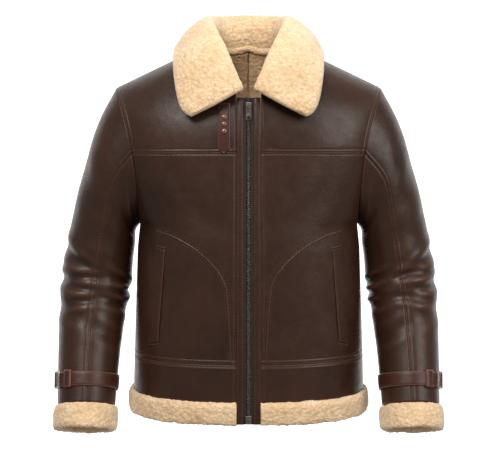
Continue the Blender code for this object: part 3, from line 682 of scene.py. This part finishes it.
def lower_maker(side, face, low, high):
    def make(u, v, lift):
        z = low + (high - low) * v + 0 * u
        edge_x, _, turn = lower_edge(z)
        first = (PLACKET_OUTER + SEAM) / edge_x if face < 0 else SEAM / 2 / edge_x
        begin = share_to_t(first, turn)
        return patch(begin + (EDGE_T - begin) * u, z, side, face, False, lift)
    return make


def yoke_maker(side, face):
    start = (PLACKET_OUTER + SEAM) / armhole_x(math.pi / 2) if face < 0 else 0.0

    def make(u, v, lift):
        t0 = share_to_t(start, CHEST_TURN)
        t = t0 + (EDGE_T - t0) * u
        last = np.maximum(neck_angle(share_of_x(t, CHEST_TURN), face), 0.0015)
        angle = (math.pi / 2 - SEAM) * (1 - v) + last * v
        return patch(t + 0 * v, angle, side, face, True, lift)
    return make


def both_halves(maker):
    """One piece across the centre from a maker of one side: u runs from right to left."""
    def make(u, v, lift):
        u = u + 0 * v
        share = np.abs(2 * u - 1)
        lift = np.asarray(lift) + 0 * share
        right, left = maker(-1)(share, v, lift), maker(1)(share, v, lift)
        return np.where((u < 0.5)[..., None], right, left)
    return make


# Soft dents of front and back panels: x, z, how long and how wide in metres, lean in degrees, depth in metres
DENTS = (
    (0.120, -0.250, 0.080, 0.018, 62, 0.0022),
    (0.165, -0.385, 0.060, 0.012, 78, 0.0016),
    (0.085, -0.300, 0.070, 0.022, 20, 0.0014),
    (0.150, -0.470, 0.050, 0.014, -70, 0.0014),
    (0.060, -0.500, 0.060, 0.020, 12, 0.0013),
    (0.180, -0.540, 0.040, 0.010, 80, 0.0015),
)


def dents(side, uneven):
    def relief(us, vs, flat):
        x, z = side * flat[..., 0], flat[..., 2]
        total = 0.0
        for number, (cx, cz, long, wide, lean, depth) in enumerate(DENTS):
            shift = uneven * 0.006 * math.sin(5 * number + 2 * side)
            angle = math.radians(lean + 6 * side * uneven)
            along = (x - cx - shift) * math.cos(angle) + (z - cz) * math.sin(angle)
            across = -(x - cx - shift) * math.sin(angle) + (z - cz) * math.cos(angle)
            bent = across - along**2 * 1.2
            total = total - depth * np.exp(-(along / long) ** 2 - (bent / wide) ** 2)
        return total
    return relief


PANEL_HEIGHTS = (HEM_SEAM_Z + SEAM / 2, YOKE_Z - SEAM / 2)
STRIP_HEIGHTS = (HEM_EDGE_Z, HEM_SEAM_Z - SEAM / 2)
PANEL_EDGES = (SINGLE, (), DOUBLE, ())


def make_body():
    for tag, side in SIDES:
        cloth("front_yoke_" + tag + "_hide", yoke_maker(side, -1),
              (SINGLE, DOUBLE, DOUBLE, ()), 0.007, ["front_yoke_" + tag])
        cloth("front_panel_" + tag + "_hide", lower_maker(side, -1, *PANEL_HEIGHTS),
              PANEL_EDGES, 0.005, ["front_panel_" + tag], dents(side, 1))
        cloth("hem_strip_" + tag + "_hide", lower_maker(side, -1, *STRIP_HEIGHTS),
              (SINGLE, (), (), SINGLE), 0.007, ["hem_strip_front_" + tag])
        cloth("back_panel_" + tag + "_hide", lower_maker(side, 1, *PANEL_HEIGHTS),
              PANEL_EDGES, 0.005, ["back_panel_" + tag], dents(side, -1))
    cloth("back_yoke_hide", both_halves(lambda side: yoke_maker(side, 1)),
          (DOUBLE, DOUBLE, DOUBLE, ()), 0.006, ["back_yoke"])
    cloth("hem_strip_back_hide", both_halves(lambda side: lower_maker(side, 1, *STRIP_HEIGHTS)),
          ((), (), (), SINGLE), 0.007, ["hem_strip_back"])


# Sleeves

def sleeve_surface(side, rows, angles, lift):
    """Points at rows along the arm (column) by angles in degrees (row, or one per point)."""
    rows = np.asarray(rows, float).reshape(-1)

    def at(offset_row, offset_angle):
        turned = np.radians(np.asarray(angles, float) + offset_angle).reshape(-1)
        rings = [armhole_point(turned, side)]
        for number, (ox, oz, ix, iz, y, deep, pitch) in enumerate(SLEEVE_RINGS):
            twist = turned + SLEEVE_TWIST * min(1.0, (number + 1) / 3)
            half = np.array([(ox - ix) / 2, 0, (oz - iz) / 2])
            middle = np.array([(ox + ix) / 2, y, (oz + iz) / 2])
            tilt = math.radians(pitch)
            fore = np.array([0, -math.cos(tilt), math.sin(tilt)])
            ring = middle + np.cos(twist)[:, None] * half + np.sin(twist)[:, None] * deep * fore
            ring[:, 0] *= side
            rings.append(ring)
        return smooth_rows(np.array(rings), np.clip(rows + offset_row, 0, len(rings) - 1))

    points = at(0, 0)
    along = at(1e-3, 0) - at(-1e-3, 0)
    around = at(0, 0.5) - at(0, -0.5)
    normals = unit(np.cross(around, along)) * side
    outside = points - points.mean(axis=1, keepdims=True)
    shared = armhole_normal(np.radians(np.asarray(angles, float)).reshape(-1), side)
    near = np.clip(1 - rows / 0.7, 0, 1)[:, None, None]
    if (normals[len(rows) // 2:] * outside[len(rows) // 2:]).sum() < 0 and points.shape[1] > 30:
        normals = -normals
    normals = unit(normals * (1 - near) + shared[None] * near)
    points[..., 0] += side * SEAM * np.clip(1 - rows / 0.35, 0, 1)[:, None]
    return points + normals * (np.asarray(lift, float) + np.zeros(points.shape[:2]))[..., None]


# Sleeve creases: row, angle in degrees, half width in rows, half length in degrees,
# lean in rows per degree, depth in metres
CREASES = (
    (3.72, 40, 0.13, 48, 0.0035, 0.0046),
    (4.05, 62, 0.10, 40, -0.0030, 0.0052),
    (4.38, 34, 0.12, 46, 0.0016, 0.0050),
    (4.72, 66, 0.11, 34, -0.0040, 0.0040),
    (5.10, 30, 0.16, 40, 0.0030, 0.0028),
    (3.90, 150, 0.12, 44, 0.0040, 0.0050),
    (4.30, 165, 0.11, 40, -0.0020, 0.0054),
    (4.66, 140, 0.13, 36, 0.0030, 0.0036),
    (3.60, 262, 0.18, 46, 0.0020, 0.0030),
    (4.45, 275, 0.16, 50, -0.0030, 0.0034),
    (1.10, 130, 0.22, 24, 0.0100, 0.0030),
    (1.40, 235, 0.22, 26, -0.0090, 0.0032),
    (2.10, 40, 0.30, 40, 0.0060, 0.0016),
    (2.80, 75, 0.26, 44, -0.0050, 0.0018),
    (5.55, 120, 0.16, 36, 0.0040, 0.0022),
)


def make_sleeves():
    gap = 0.08
    for tag, side in SIDES:
        for name, first, last in (("sleeve_top_", BACK_SEAM - 360 + gap, FRONT_SEAM - gap),
                                  ("sleeve_under_", FRONT_SEAM + gap, BACK_SEAM - gap)):
            def make(u, v, lift, first=first, last=last, side=side):
                return sleeve_surface(side, CUFF_RING * v, first + (last - first) * u, lift)

            def relief(us, vs, flat, first=first, last=last, side=side):
                angle = (first + (last - first) * us + 0 * vs) % 360
                row = CUFF_RING * vs + 0 * us
                total = 0.0
                for number, (r0, a0, wide, long, lean, depth) in enumerate(CREASES):
                    shift = 0.05 * math.sin(3 * number + side)
                    off = (angle - a0 + 180) % 360 - 180
                    across = (row - r0 - shift - lean * off) / wide
                    trough = np.exp(-across**2) - 0.55 * np.exp(-((np.abs(across) - 1.9) / 0.8) ** 2)
                    total = total - depth * trough * np.exp(-(off / long) ** 2)
                return total * np.clip(row / 0.5, 0, 1) * np.clip((CUFF_RING - row) / 0.3, 0, 1)

            edges = ((SINGLE if "top" in name else ()), (DOUBLE if "top" in name else ()), (), ())
            cloth(name + tag + "_hide", make, edges, 0.0055, [name + tag], relief)


# Wool

def curls(points, cell, height, seed=0.0):
    """Height of the wool at each point: round curls over wider, softer lumps."""
    flat = np.asarray(points).reshape(-1, 3)
    out = np.empty(len(flat))
    for i, p in enumerate(flat):
        place = Vector(p) / cell + Vector((seed, 0.3 * seed, 0))
        warp = noise.noise_vector(place * 0.9) * 0.55
        near = noise.voronoi(place + warp)[0][0]
        lump = noise.noise(place * 0.28)
        out[i] = (0.55 - near) * 1.3 + lump * 0.9 + noise.noise(place * 2.3) * 0.25
    return (out * height).reshape(np.shape(points)[:-1])


CURL = 0.0062
CURL_HIGH = 0.0023
# Without a seed noise_vector takes its offsets from the clock, and the curls differ each run
WOOL_SEED = 7
noise.seed_set(WOOL_SEED)


def resampled(grid, rows, columns):
    grid = smooth_rows(grid, np.linspace(0, len(grid) - 1, rows))
    turned = np.swapaxes(grid, 0, 1)
    turned = smooth_rows(turned, np.linspace(0, len(turned) - 1, columns))
    return np.swapaxes(turned, 0, 1)


def make_collar():
    stations_at, seam = neck_line(1)
    centre = np.array([0, -0.02, 0])
    start = seam + unit(centre - seam) * 0.0055 + np.array([0, 0, 0.0065])
    start[0] = (0.0150, -0.131, -0.0860)
    lines = np.stack([start] + [collar_table(t, stations_at) for t in (
        COLLAR_STAND, COLLAR_ROLL, COLLAR_FALL, COLLAR_EDGE)])
    half = smooth_rows(lines, np.array([0, 0.5, 1, 1.4, 1.75, 2.1, 2.5, 3, 3.5, 4]))
    half[4:] = pushed_clear(half[4:])
    mirrored = half[:, -2::-1].copy()
    mirrored[..., 0] *= -1
    middle = resampled(np.concatenate([half, mirrored], axis=1), 96, 300)
    rows, columns = middle.shape[:2]
    normals = grid_normals(middle)
    share = np.linspace(0, 1, rows)[:, None]
    end = np.linspace(0, 1, columns)[None, :]
    edge = np.clip((1 - share) / 0.055, 0, 1)
    foot = np.clip(share / 0.10, 0, 1)
    tip = np.clip(np.minimum(end, 1 - end) / 0.016, 0, 1)
    round_off = np.sqrt(1 - (1 - edge) ** 2 + 1e-6) * np.sqrt(1 - (1 - tip) ** 2 + 1e-6)
    swell = 1 + 0.22 * np.exp(-((share - 0.93) / 0.06) ** 2)
    thick = COLLAR_THICK / 2 * (0.35 + 0.65 * foot) * np.maximum(round_off, 0.12) * swell
    upper = middle + normals * thick[..., None]
    lower = middle - normals * thick[..., None]
    upper = upper + normals * (curls(upper, CURL, CURL_HIGH) * np.maximum(round_off, 0.3))[..., None]
    lower = lower - normals * (curls(lower, CURL, CURL_HIGH * 0.5, 7.0) * round_off)[..., None]
    made = wall("collar_wool", upper, lower, WOOL, ["collar"])


# Fleece bands: steps round the section, and how square it is (1 is round)
BAND_STEPS = 56
BAND_POWER = 0.62


def band(name, path, out, deep, around, replaced, columns):
    """Wool band along a path: path(share, lift) gives its points at a share of its height."""
    turn = np.linspace(0, math.tau, BAND_STEPS, endpoint=False)
    across = np.sign(np.cos(turn)) * np.abs(np.cos(turn)) ** BAND_POWER
    along = np.sign(np.sin(turn)) * np.abs(np.sin(turn)) ** BAND_POWER
    lifts = np.where(across > 0, across * out, across * deep)
    rings = np.stack([path(0.5 - 0.5 * a, l, columns) for a, l in zip(along, lifts)], axis=0)
    centre = rings.mean(axis=0, keepdims=True)
    away = unit(rings - centre)
    rings = rings + away * (curls(rings, CURL, CURL_HIGH * 0.8, 3.0) - 0.0006)[..., None]
    made = tube(name, rings, WOOL, replaced, around)


def make_bands():
    top = HEM_EDGE_Z + 0.0012
    height = top - HEM_BAND_Z

    def half(side, face, share, lift, columns):
        z = np.full((1, columns), top - share * height)
        edge_x, _, turn = lower_edge(z)
        first = share_to_t((PLACKET_OUTER + SEAM) / edge_x, turn) if face < 0 else 0.0
        u = np.linspace(0, 1, columns)[None, :]
        return patch(first + (EDGE_T - first) * u, z, side, face, False, lift)[0]

    def back(share, lift, columns):
        return np.concatenate([half(-1, 1, share, lift, columns)[:0:-1], half(1, 1, share, lift, columns)])

    for tag, side in SIDES:
        def front(share, lift, columns, side=side):
            return half(side, -1, share, lift, columns)

        band("hem_wool_" + tag, front, HEM_BAND_OUT, HEM_BAND_IN, False, ["hem_fleece_" + tag], 130)
    band("hem_wool_back", back, HEM_BAND_OUT, HEM_BAND_IN, False, ["hem_fleece_back"], 110)
    begin = CUFF_RING + 0.01
    length = CUFF_END_RING - begin

    for tag, side in SIDES:
        def cuff(share, lift, columns, side=side):
            angles = np.arange(columns) * 360 / columns
            return sleeve_surface(side, [begin + share * length], angles, lift)[0]

        band("cuff_wool_" + tag, cuff, CUFF_BAND_OUT, CUFF_BAND_IN, True, ["cuff_fleece_" + tag], 170)


def make_inside_neck():
    """The wool side of the back, seen through the neck, its centre seam and the neck roll."""
    for tag, side in SIDES:
        u = np.linspace(0.003, 0.62, 70)[None, :]
        v = np.linspace(0.02, 0.985, 70)[:, None]
        make = yoke_maker(side, 1)
        base = make(u, v, -HIDE)
        seam = np.exp(-(np.abs(base[..., 0]) / 0.0035) ** 2)
        high = 0.0022 + np.maximum(curls(base, CURL, 0.0026, 5.0), -0.0012) * (1 - seam) - 0.0014 * seam
        wall("inside_wool_" + tag, make(u, v, -HIDE - high), make(u, v, -HIDE * 0.9), WOOL)
    stations_at, seam = neck_line(1)
    line = seam[stations_at > 0.85] + np.array([0, -0.006, 0.0015])
    line = np.concatenate([line, line[-2::-1] * (-1, 1, 1)])
    line = smooth_rows(line, np.linspace(0, len(line) - 1, 120))
    tangent = unit(np.gradient(line, axis=0))
    up = np.array([0, 0, 1.0])
    out = unit(np.cross(tangent, up))
    turn = np.arange(20) * math.tau / 20
    rings = np.stack([line + out * math.cos(a) * 0.0045 + up * math.sin(a) * 0.0068 for a in turn])
    rings = rings + unit(rings - line) * curls(rings, CURL, 0.0013, 9.0)[..., None]
    tube("neck_roll", rings, WOOL)


# Stitching

STITCH_LONG = 0.0036
STITCH_PITCH = 0.0052
STITCH_THICK = 0.00042


def stitch_row(line, out):
    """Boxes for one row of stitches along a line; out is the surface's direction there."""
    at = lengths(line, 0)
    centres = np.arange(STITCH_PITCH, at[-1] - STITCH_PITCH / 2, STITCH_PITCH)

    def pick(values, places):
        return np.stack([np.interp(places, at, values[:, k]) for k in range(3)], axis=1)

    a = pick(line, centres - STITCH_LONG / 2)
    b = pick(line, centres + STITCH_LONG / 2)
    normal = unit(pick(out, centres))
    forward = unit(b - a)
    side = unit(np.cross(forward, normal))
    half = STITCH_THICK
    middle = (a + b) / 2 + normal * half * 0.8
    low_a, low_b = a - normal * half * 0.8, b - normal * half * 0.8
    return np.stack([low_a, middle - forward * STITCH_LONG * 0.3 - side * half,
                     middle - forward * STITCH_LONG * 0.3 + side * half,
                     middle + forward * STITCH_LONG * 0.3 - side * half,
                     middle + forward * STITCH_LONG * 0.3 + side * half, low_b], axis=1)


STITCH_FACES = ((0, 1, 2), (1, 3, 4, 2), (3, 5, 4), (0, 3, 1), (0, 5, 3), (0, 2, 4), (0, 4, 5))


def stitching(name, rows):
    stitches = np.concatenate(rows)
    faces = [tuple(i * 6 + k for k in face) for i in range(len(stitches)) for face in STITCH_FACES]
    made = piece(name, stitches.reshape(-1, 3), faces, THREAD)
    turn_outwards(made)


def row_on(make, us, vs):
    """A stitch row along u or v values of a panel, a little sunk in."""
    us = np.asarray(us, float)
    vs = np.asarray(vs, float)
    count = max(len(us), len(vs))
    us = np.broadcast_to(us, (count,))[None, :]
    vs = np.broadcast_to(vs, (count,))[None, :]
    low = make(us, vs, SUNK)[0]
    high = make(us, vs, SUNK + 0.002)[0]
    return stitch_row(low, high - low)


RUN = np.linspace(0.004, 0.996, 200)
SUNK = -0.0005
YOKE_HIGH = 0.19
YOKE_WIDE = 0.22
PANEL_WIDE = 0.235
ROW_DEGREE = 0.00105


def make_stitching():
    panel_high = YOKE_Z - HEM_SEAM_Z
    strip_high = HEM_SEAM_Z - HEM_EDGE_Z
    for tag, side in SIDES:
        for part, face in (("front", -1), ("back", 1)):
            yoke = yoke_maker(side, face)
            panel = lower_maker(side, face, *PANEL_HEIGHTS)
            strip = lower_maker(side, face, *STRIP_HEIGHTS)
            rows = []
            for line in DOUBLE:
                rows.append(row_on(yoke, RUN, [line / YOKE_HIGH]))
                rows.append(row_on(yoke, [1 - line / PANEL_WIDE], RUN * 0.94))
                rows.append(row_on(panel, RUN, [line / panel_high]))
            if face < 0:
                rows.append(row_on(yoke, [SINGLE[0] / YOKE_WIDE], RUN * 0.9))
            rows.append(row_on(panel, [SINGLE[0] / PANEL_WIDE], RUN))
            rows.append(row_on(strip, RUN, [1 - SINGLE[0] / strip_high]))
            stitching(part + "_stitches_" + tag, rows)
        reach = np.linspace(0.05, 6.95, 90)
        rows = [sleeve_row(side, FRONT_SEAM - line / ROW_DEGREE, reach) for line in DOUBLE]
        rows.append(sleeve_row(side, BACK_SEAM - 360 + SINGLE[0] / ROW_DEGREE, reach))
        stitching("sleeve_stitches_" + tag, rows)


def sleeve_row(side, angle, reach):
    angles = np.linspace(angle - 170, angle + 180, 36)
    angles[17] = angle
    low = sleeve_surface(side, reach, angles, SUNK)[:, 17]
    high = sleeve_surface(side, reach, angles, SUNK + 0.002)[:, 17]
    return stitch_row(low, high - low)


# Pockets, placket, zip

POCKET_CURVE = np.array([
    (0.1630, -0.3250), (0.1450, -0.3290), (0.1270, -0.3350), (0.0910, -0.3550), (0.0590, -0.3840),
    (0.0415, -0.4120), (0.0365, -0.4410), (0.0330, -0.4890), (0.0300, -0.5490),
])


# Pocket welts: the inner edge's x and z at the top and at the bottom, and the width
WELT_TOP = (0.1455, -0.357)
WELT_BOTTOM = (0.1580, -0.518)
WELT_WIDE = 0.0165


def front_line(points, side, count):
    """A smooth line on the front through (x, z) points, and the surface's direction."""
    line = smooth_rows(points, np.linspace(0, len(points) - 1, count))
    low = front_point(side * line[:, 0], line[:, 1], 0)
    high = front_point(side * line[:, 0], line[:, 1], 0.002)
    return low, unit(high - low)


def shifted(points, by):
    """The (x, z) line moved sideways by a distance, towards the centre and up if positive."""
    fine = smooth_rows(points, np.linspace(0, len(points) - 1, 60))
    forward = unit(np.gradient(fine, axis=0))
    return fine + np.stack([forward[:, 1], -forward[:, 0]], axis=1) * by


def ridge(name, line, out, wide, high, material):
    """A low rounded ridge that lies on a surface along a line."""
    forward = unit(np.gradient(line, axis=0))
    side = unit(np.cross(forward, out))
    turn = np.linspace(0, math.tau, 12, endpoint=False)
    rings = np.stack([line + side * math.cos(a) * wide + out * (math.sin(a) * high - 0.0001)
                      for a in turn])
    tube(name, rings, material)


def crowned(name, xs, zs, low, high, material, replaced, dip=0.0012, inset=0.0028):
    """A flat strip on the front with rounded edges and a stitched line inside them."""
    base = front_point(xs, zs, 0)
    du, dv = lengths(base, 1), lengths(base, 0)
    inner = np.minimum(np.minimum(du, du[:, -1:] - du), np.minimum(dv, dv[-1:] - dv))
    lift = high - dip * np.exp(-(inner / 0.0010) ** 2) - 0.0005 * np.exp(-((inner - inset) / 0.0008) ** 2)
    return wall(name, front_point(xs, zs, np.maximum(lift, low + 0.0002)),
                front_point(xs, zs, low), material, replaced)


def near_edges(low, high, step, long):
    """Places from low to high, close together at both ends."""
    near = NEAR[NEAR < abs(high - low) / 2] / abs(high - low)
    gap = np.linspace(near[-1], 1 - near[-1], max(3, int(long / step)))[1:-1]
    return low + (high - low) * np.concatenate([near, gap, 1 - near[::-1]])


def make_front_trim():
    for tag, side in SIDES:
        line, out = front_line(POCKET_CURVE, side, 220)
        ridge("pocket_seam_" + tag, line, out, 0.0017, 0.0011, LEATHER)
        rows = []
        for by in (-0.0038, 0.0044, 0.0092):
            low, away = front_line(shifted(POCKET_CURVE, by), side, 200)
            rows.append(stitch_row(low, away))
        stitching("pocket_stitches_" + tag, rows)
        (top_x, top_z), (bottom_x, bottom_z) = WELT_TOP, WELT_BOTTOM
        share = near_edges(0, 1, 0.004, 0.16)[:, None]
        across = near_edges(0, WELT_WIDE, 0.002, WELT_WIDE)[None, :] / WELT_WIDE
        xs = side * (top_x + (bottom_x - top_x) * share + WELT_WIDE * across)
        zs = top_z + (bottom_z - top_z) * share + 0.004 * (1 - 2 * share) * across
        made = crowned("welt_" + tag, xs, zs, 0.0001, 0.0024, LEATHER, ["pocket_welt_" + tag])
        edge = np.array([(top_x, top_z), (0.1622, top_z + 0.003)])
        foot = np.array([(bottom_x, bottom_z), (0.1745, bottom_z - 0.004)])
        for name, ends, drop in (("top", edge, 0.0035), ("foot", foot, -0.0035)):
            low, away = front_line(ends + (0, drop), side, 30)
            ridge("welt_end_" + name + "_" + tag, low, away, 0.0011, 0.0008, THREAD)
        xs = side * near_edges(PLACKET_INNER, PLACKET_OUTER + SEAM, 0.002, 0.0116)[None, :]
        zs = near_edges(PLACKET_END_Z, ZIP_TOP_Z, 0.005, 0.56)[:, None]
        made = crowned("placket_" + tag + "_hide", xs, zs, -HIDE, 0.0016, LEATHER,
                       ["placket_" + tag], 0.0014, 0.0024)
        rows = []
        for x in (PLACKET_INNER + 0.0022, PLACKET_OUTER - 0.0022):
            low, away = front_line(np.array([(x, z) for z in (-0.649, -0.5, -0.3, -0.1)]), side, 200)
            rows.append(stitch_row(low + away * 0.0012, away))
        stitching("placket_stitches_" + tag, rows)
        xs = side * np.linspace(TAPE_INNER, PLACKET_INNER + SEAM, 10)[None, :]
        zs = np.linspace(PLACKET_END_Z, ZIP_TOP_Z, 120)[:, None]
        wall("tape_" + tag, front_point(xs, zs, -0.0014), front_point(xs, zs, -0.0032), TAPE,
             ["zip_tape_" + tag])
    make_teeth()


TOOTH_PITCH = 0.0032
TEETH_LOW_Z = -0.640
TEETH_HIGH_Z = -0.094


def make_teeth():
    """Teeth of both tapes, set alternately and locked across the centre."""
    for tag, side in SIDES:
        zs = np.arange(TEETH_LOW_Z, TEETH_HIGH_Z, TOOTH_PITCH) + (TOOTH_PITCH / 2 if side > 0 else 0)
        zero = np.zeros_like(zs)
        centre = front_point(zero, zs, 0)
        out = unit(front_point(zero, zs, 0.002) - centre)
        up = unit(np.cross(out, np.array([1.0, 0, 0])) * -1)
        right = np.array([side * 1.0, 0, 0])
        shape = []
        for x, wide in ((-0.0010, 0.00050), (0.0008, 0.00095), (0.0044, 0.00075)):
            for high in (-0.0018, 0.0003 if x < 0.004 else -0.0001):
                for z in (-1, 1):
                    shape.append(centre + right * x + out * high + up * z * wide)
        points = np.stack(shape, axis=1)
        faces = []
        one = [(0, 1, 3, 2), (8, 10, 11, 9)]
        for s in (0, 4):
            one += [(s, s + 2, s + 6, s + 4), (s + 1, s + 5, s + 7, s + 3),
                    (s, s + 4, s + 5, s + 1), (s + 2, s + 3, s + 7, s + 6)]
        for i in range(len(zs)):
            faces += [tuple(i * 12 + k for k in face) for face in one]
        made = piece("teeth_" + tag, points.reshape(-1, 3), faces, TEETH)
        turn_outwards(made)


# Straps

# Throat strap: ends, the x of its point and of both edges, and how long the point is
THROAT_TOP_Z = -0.102
THROAT_POINT_Z = -0.1885
THROAT_POINT_X = -0.0422
THROAT_LEFT_X = -0.0530
THROAT_RIGHT_X = -0.0318
THROAT_POINT_LONG = 0.0085

# Cuff straps and keepers: the sleeve rows they cover, and how thick they are
CUFF_STRAP_ROWS = (6.38, 6.65)
KEEPER_ROWS = (6.35, 6.68)
CUFF_STRAP_THICK = 0.0028
KEEPER_THICK = 0.0028


def make_straps():
    zs = np.linspace(THROAT_POINT_Z, THROAT_TOP_Z, 60)
    point = np.clip((zs - THROAT_POINT_Z) / THROAT_POINT_LONG, 0, 1)
    left = THROAT_POINT_X + (THROAT_LEFT_X - THROAT_POINT_X) * np.sqrt(np.clip(point * 1.25, 0, 1))
    right = THROAT_POINT_X + (THROAT_RIGHT_X - THROAT_POINT_X) * point ** 0.8
    across = np.linspace(0, 1, 26)[None, :]
    xs = left[:, None] * (1 - across) + right[:, None] * across
    made = crowned("throat_strap_hide", xs, zs[:, None] + 0 * across, 0.0002, 0.0029, STRAP,
                   ["throat_strap"], 0.0012, 0.0020)
    lift = SEAM + 0.0004
    for tag, side in SIDES:
        rows = np.linspace(*CUFF_STRAP_ROWS, 22)
        share = np.linspace(0, 1, 22)
        edges = np.exp(-(share / 0.04) ** 2) + np.exp(-((1 - share) / 0.04) ** 2)
        stitched = np.exp(-((share - 0.10) / 0.03) ** 2) + np.exp(-((share - 0.90) / 0.03) ** 2)
        high = lift + CUFF_STRAP_THICK - 0.0011 * edges
        high = high - 0.0004 * stitched
        angles = np.arange(120) * 3.0
        made = wall("cuff_strap_" + tag + "_hide", sleeve_surface(side, rows, angles, high[:, None]),
                    sleeve_surface(side, rows, angles, lift), STRAP,
                    ["cuff_strap_" + tag], around=True)
        over = lift + CUFF_STRAP_THICK + SEAM
        rows = np.linspace(*KEEPER_ROWS, 24)
        ring = np.concatenate([np.linspace(45, 60, 12), np.linspace(75, 390, 40)])
        share = np.linspace(0, 1, 24)[:, None]
        part = np.linspace(0, 1, 12)[None, :]
        near = np.minimum(np.minimum(share, 1 - share) * 3, np.minimum(part, 1 - part))
        crown = np.zeros((24, len(ring)))
        crown[:, :12] = over + KEEPER_THICK - 0.0014 * np.exp(-(near / 0.10) ** 2)
        outer = sleeve_surface(side, rows, ring, crown)[:, :12]
        inner = sleeve_surface(side, rows, ring, over)[:, :12]
        made = wall("cuff_keeper_" + tag + "_hide", outer, inner, STRAP,
                    ["cuff_keeper_" + tag])


def finish_metal():
    for names, material in ((("zip_box", "zip_slider", "zip_bridge", "zip_pull_tab", "cuff_buckle_R",
                              "cuff_buckle_L"), BRONZE),
                            (("throat_rivet_1", "throat_rivet_2", "throat_rivet_3"), COPPER)):
        for name in names:
            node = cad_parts[name]
            for slot in node.material_slots:
                slot.link = "OBJECT"
                slot.material = material


# Studio

PIXEL = 0.00185
CAMERA_AWAY = 1.9
CAMERA_Z = -0.20
LEVEL_PIXEL = 160
CENTRE_PIXEL = 248.6
FRAME_PIXELS = (500, 456)
BACKDROP_Y = 3
BACKDROP_HALF = 6
WORLD_STRENGTH = 0.32


def area_light(name, place, target, size, power, colour=(1, 1, 1)):
    light = bpy.data.lights.new(name, "AREA")
    light.shape = "RECTANGLE"
    light.size, light.size_y = size
    light.energy = power
    light.color = colour
    made = bpy.data.objects.new(name, light)
    bpy.context.scene.collection.objects.link(made)
    made.location = place
    made.rotation_euler = (Vector(target) - Vector(place)).to_track_quat("-Z", "Y").to_euler()


def make_studio():
    camera = bpy.data.objects.new("camera", bpy.data.cameras.new("camera"))
    bpy.context.scene.collection.objects.link(camera)
    camera.location = (0, -CAMERA_AWAY, CAMERA_Z)
    camera.rotation_euler = (math.pi / 2, 0, 0)
    camera.data.sensor_width = 36
    camera.data.lens = 36 * CAMERA_AWAY / (FRAME_PIXELS[0] * PIXEL)
    camera.data.shift_x = (FRAME_PIXELS[0] / 2 - CENTRE_PIXEL) / FRAME_PIXELS[0]
    camera.data.shift_y = (LEVEL_PIXEL - FRAME_PIXELS[1] / 2) / FRAME_PIXELS[0]
    bpy.context.scene.camera = camera
    white = bpy.data.materials.new("white_backdrop")
    white.use_nodes = True
    shader = white.node_tree.nodes["Principled BSDF"]
    shader.inputs["Base Color"].default_value = (1, 1, 1, 1)
    shader.inputs["Emission Color"].default_value = (1, 1, 1, 1)
    shader.inputs["Emission Strength"].default_value = 1.0
    mesh = bpy.data.meshes.new("backdrop")
    corners = [(x * BACKDROP_HALF, BACKDROP_Y, z * BACKDROP_HALF)
               for x, z in ((-1, -1), (1, -1), (1, 1), (-1, 1))]
    mesh.from_pydata(corners, [], [(0, 1, 2, 3)])
    mesh.materials.append(white)
    backdrop = bpy.data.objects.new("backdrop", mesh)
    bpy.context.scene.collection.objects.link(backdrop)
    world = bpy.data.worlds.new("studio")
    bpy.context.scene.world = world
    bpy.context.scene.view_settings.view_transform = "Standard"
    world.use_nodes = True
    background = world.node_tree.nodes["Background"]
    background.inputs["Color"].default_value = (1, 1, 1, 1)
    background.inputs["Strength"].default_value = WORLD_STRENGTH
    area_light("key", (-0.9, -2.1, 1.6), (0, 0, -0.25), (1.5, 1.1), 62, (1.0, 0.97, 0.93))
    area_light("fill", (1.8, -1.6, 0.7), (0, 0, -0.3), (1.2, 1.6), 34, (1.0, 0.98, 0.96))
    area_light("top", (0, -0.3, 1.7), (0, 0, -0.2), (1.5, 1.2), 13)


make_studio()
make_body()
make_sleeves()
make_collar()
make_bands()
make_inside_neck()
make_front_trim()
make_straps()
make_stitching()
finish_metal()
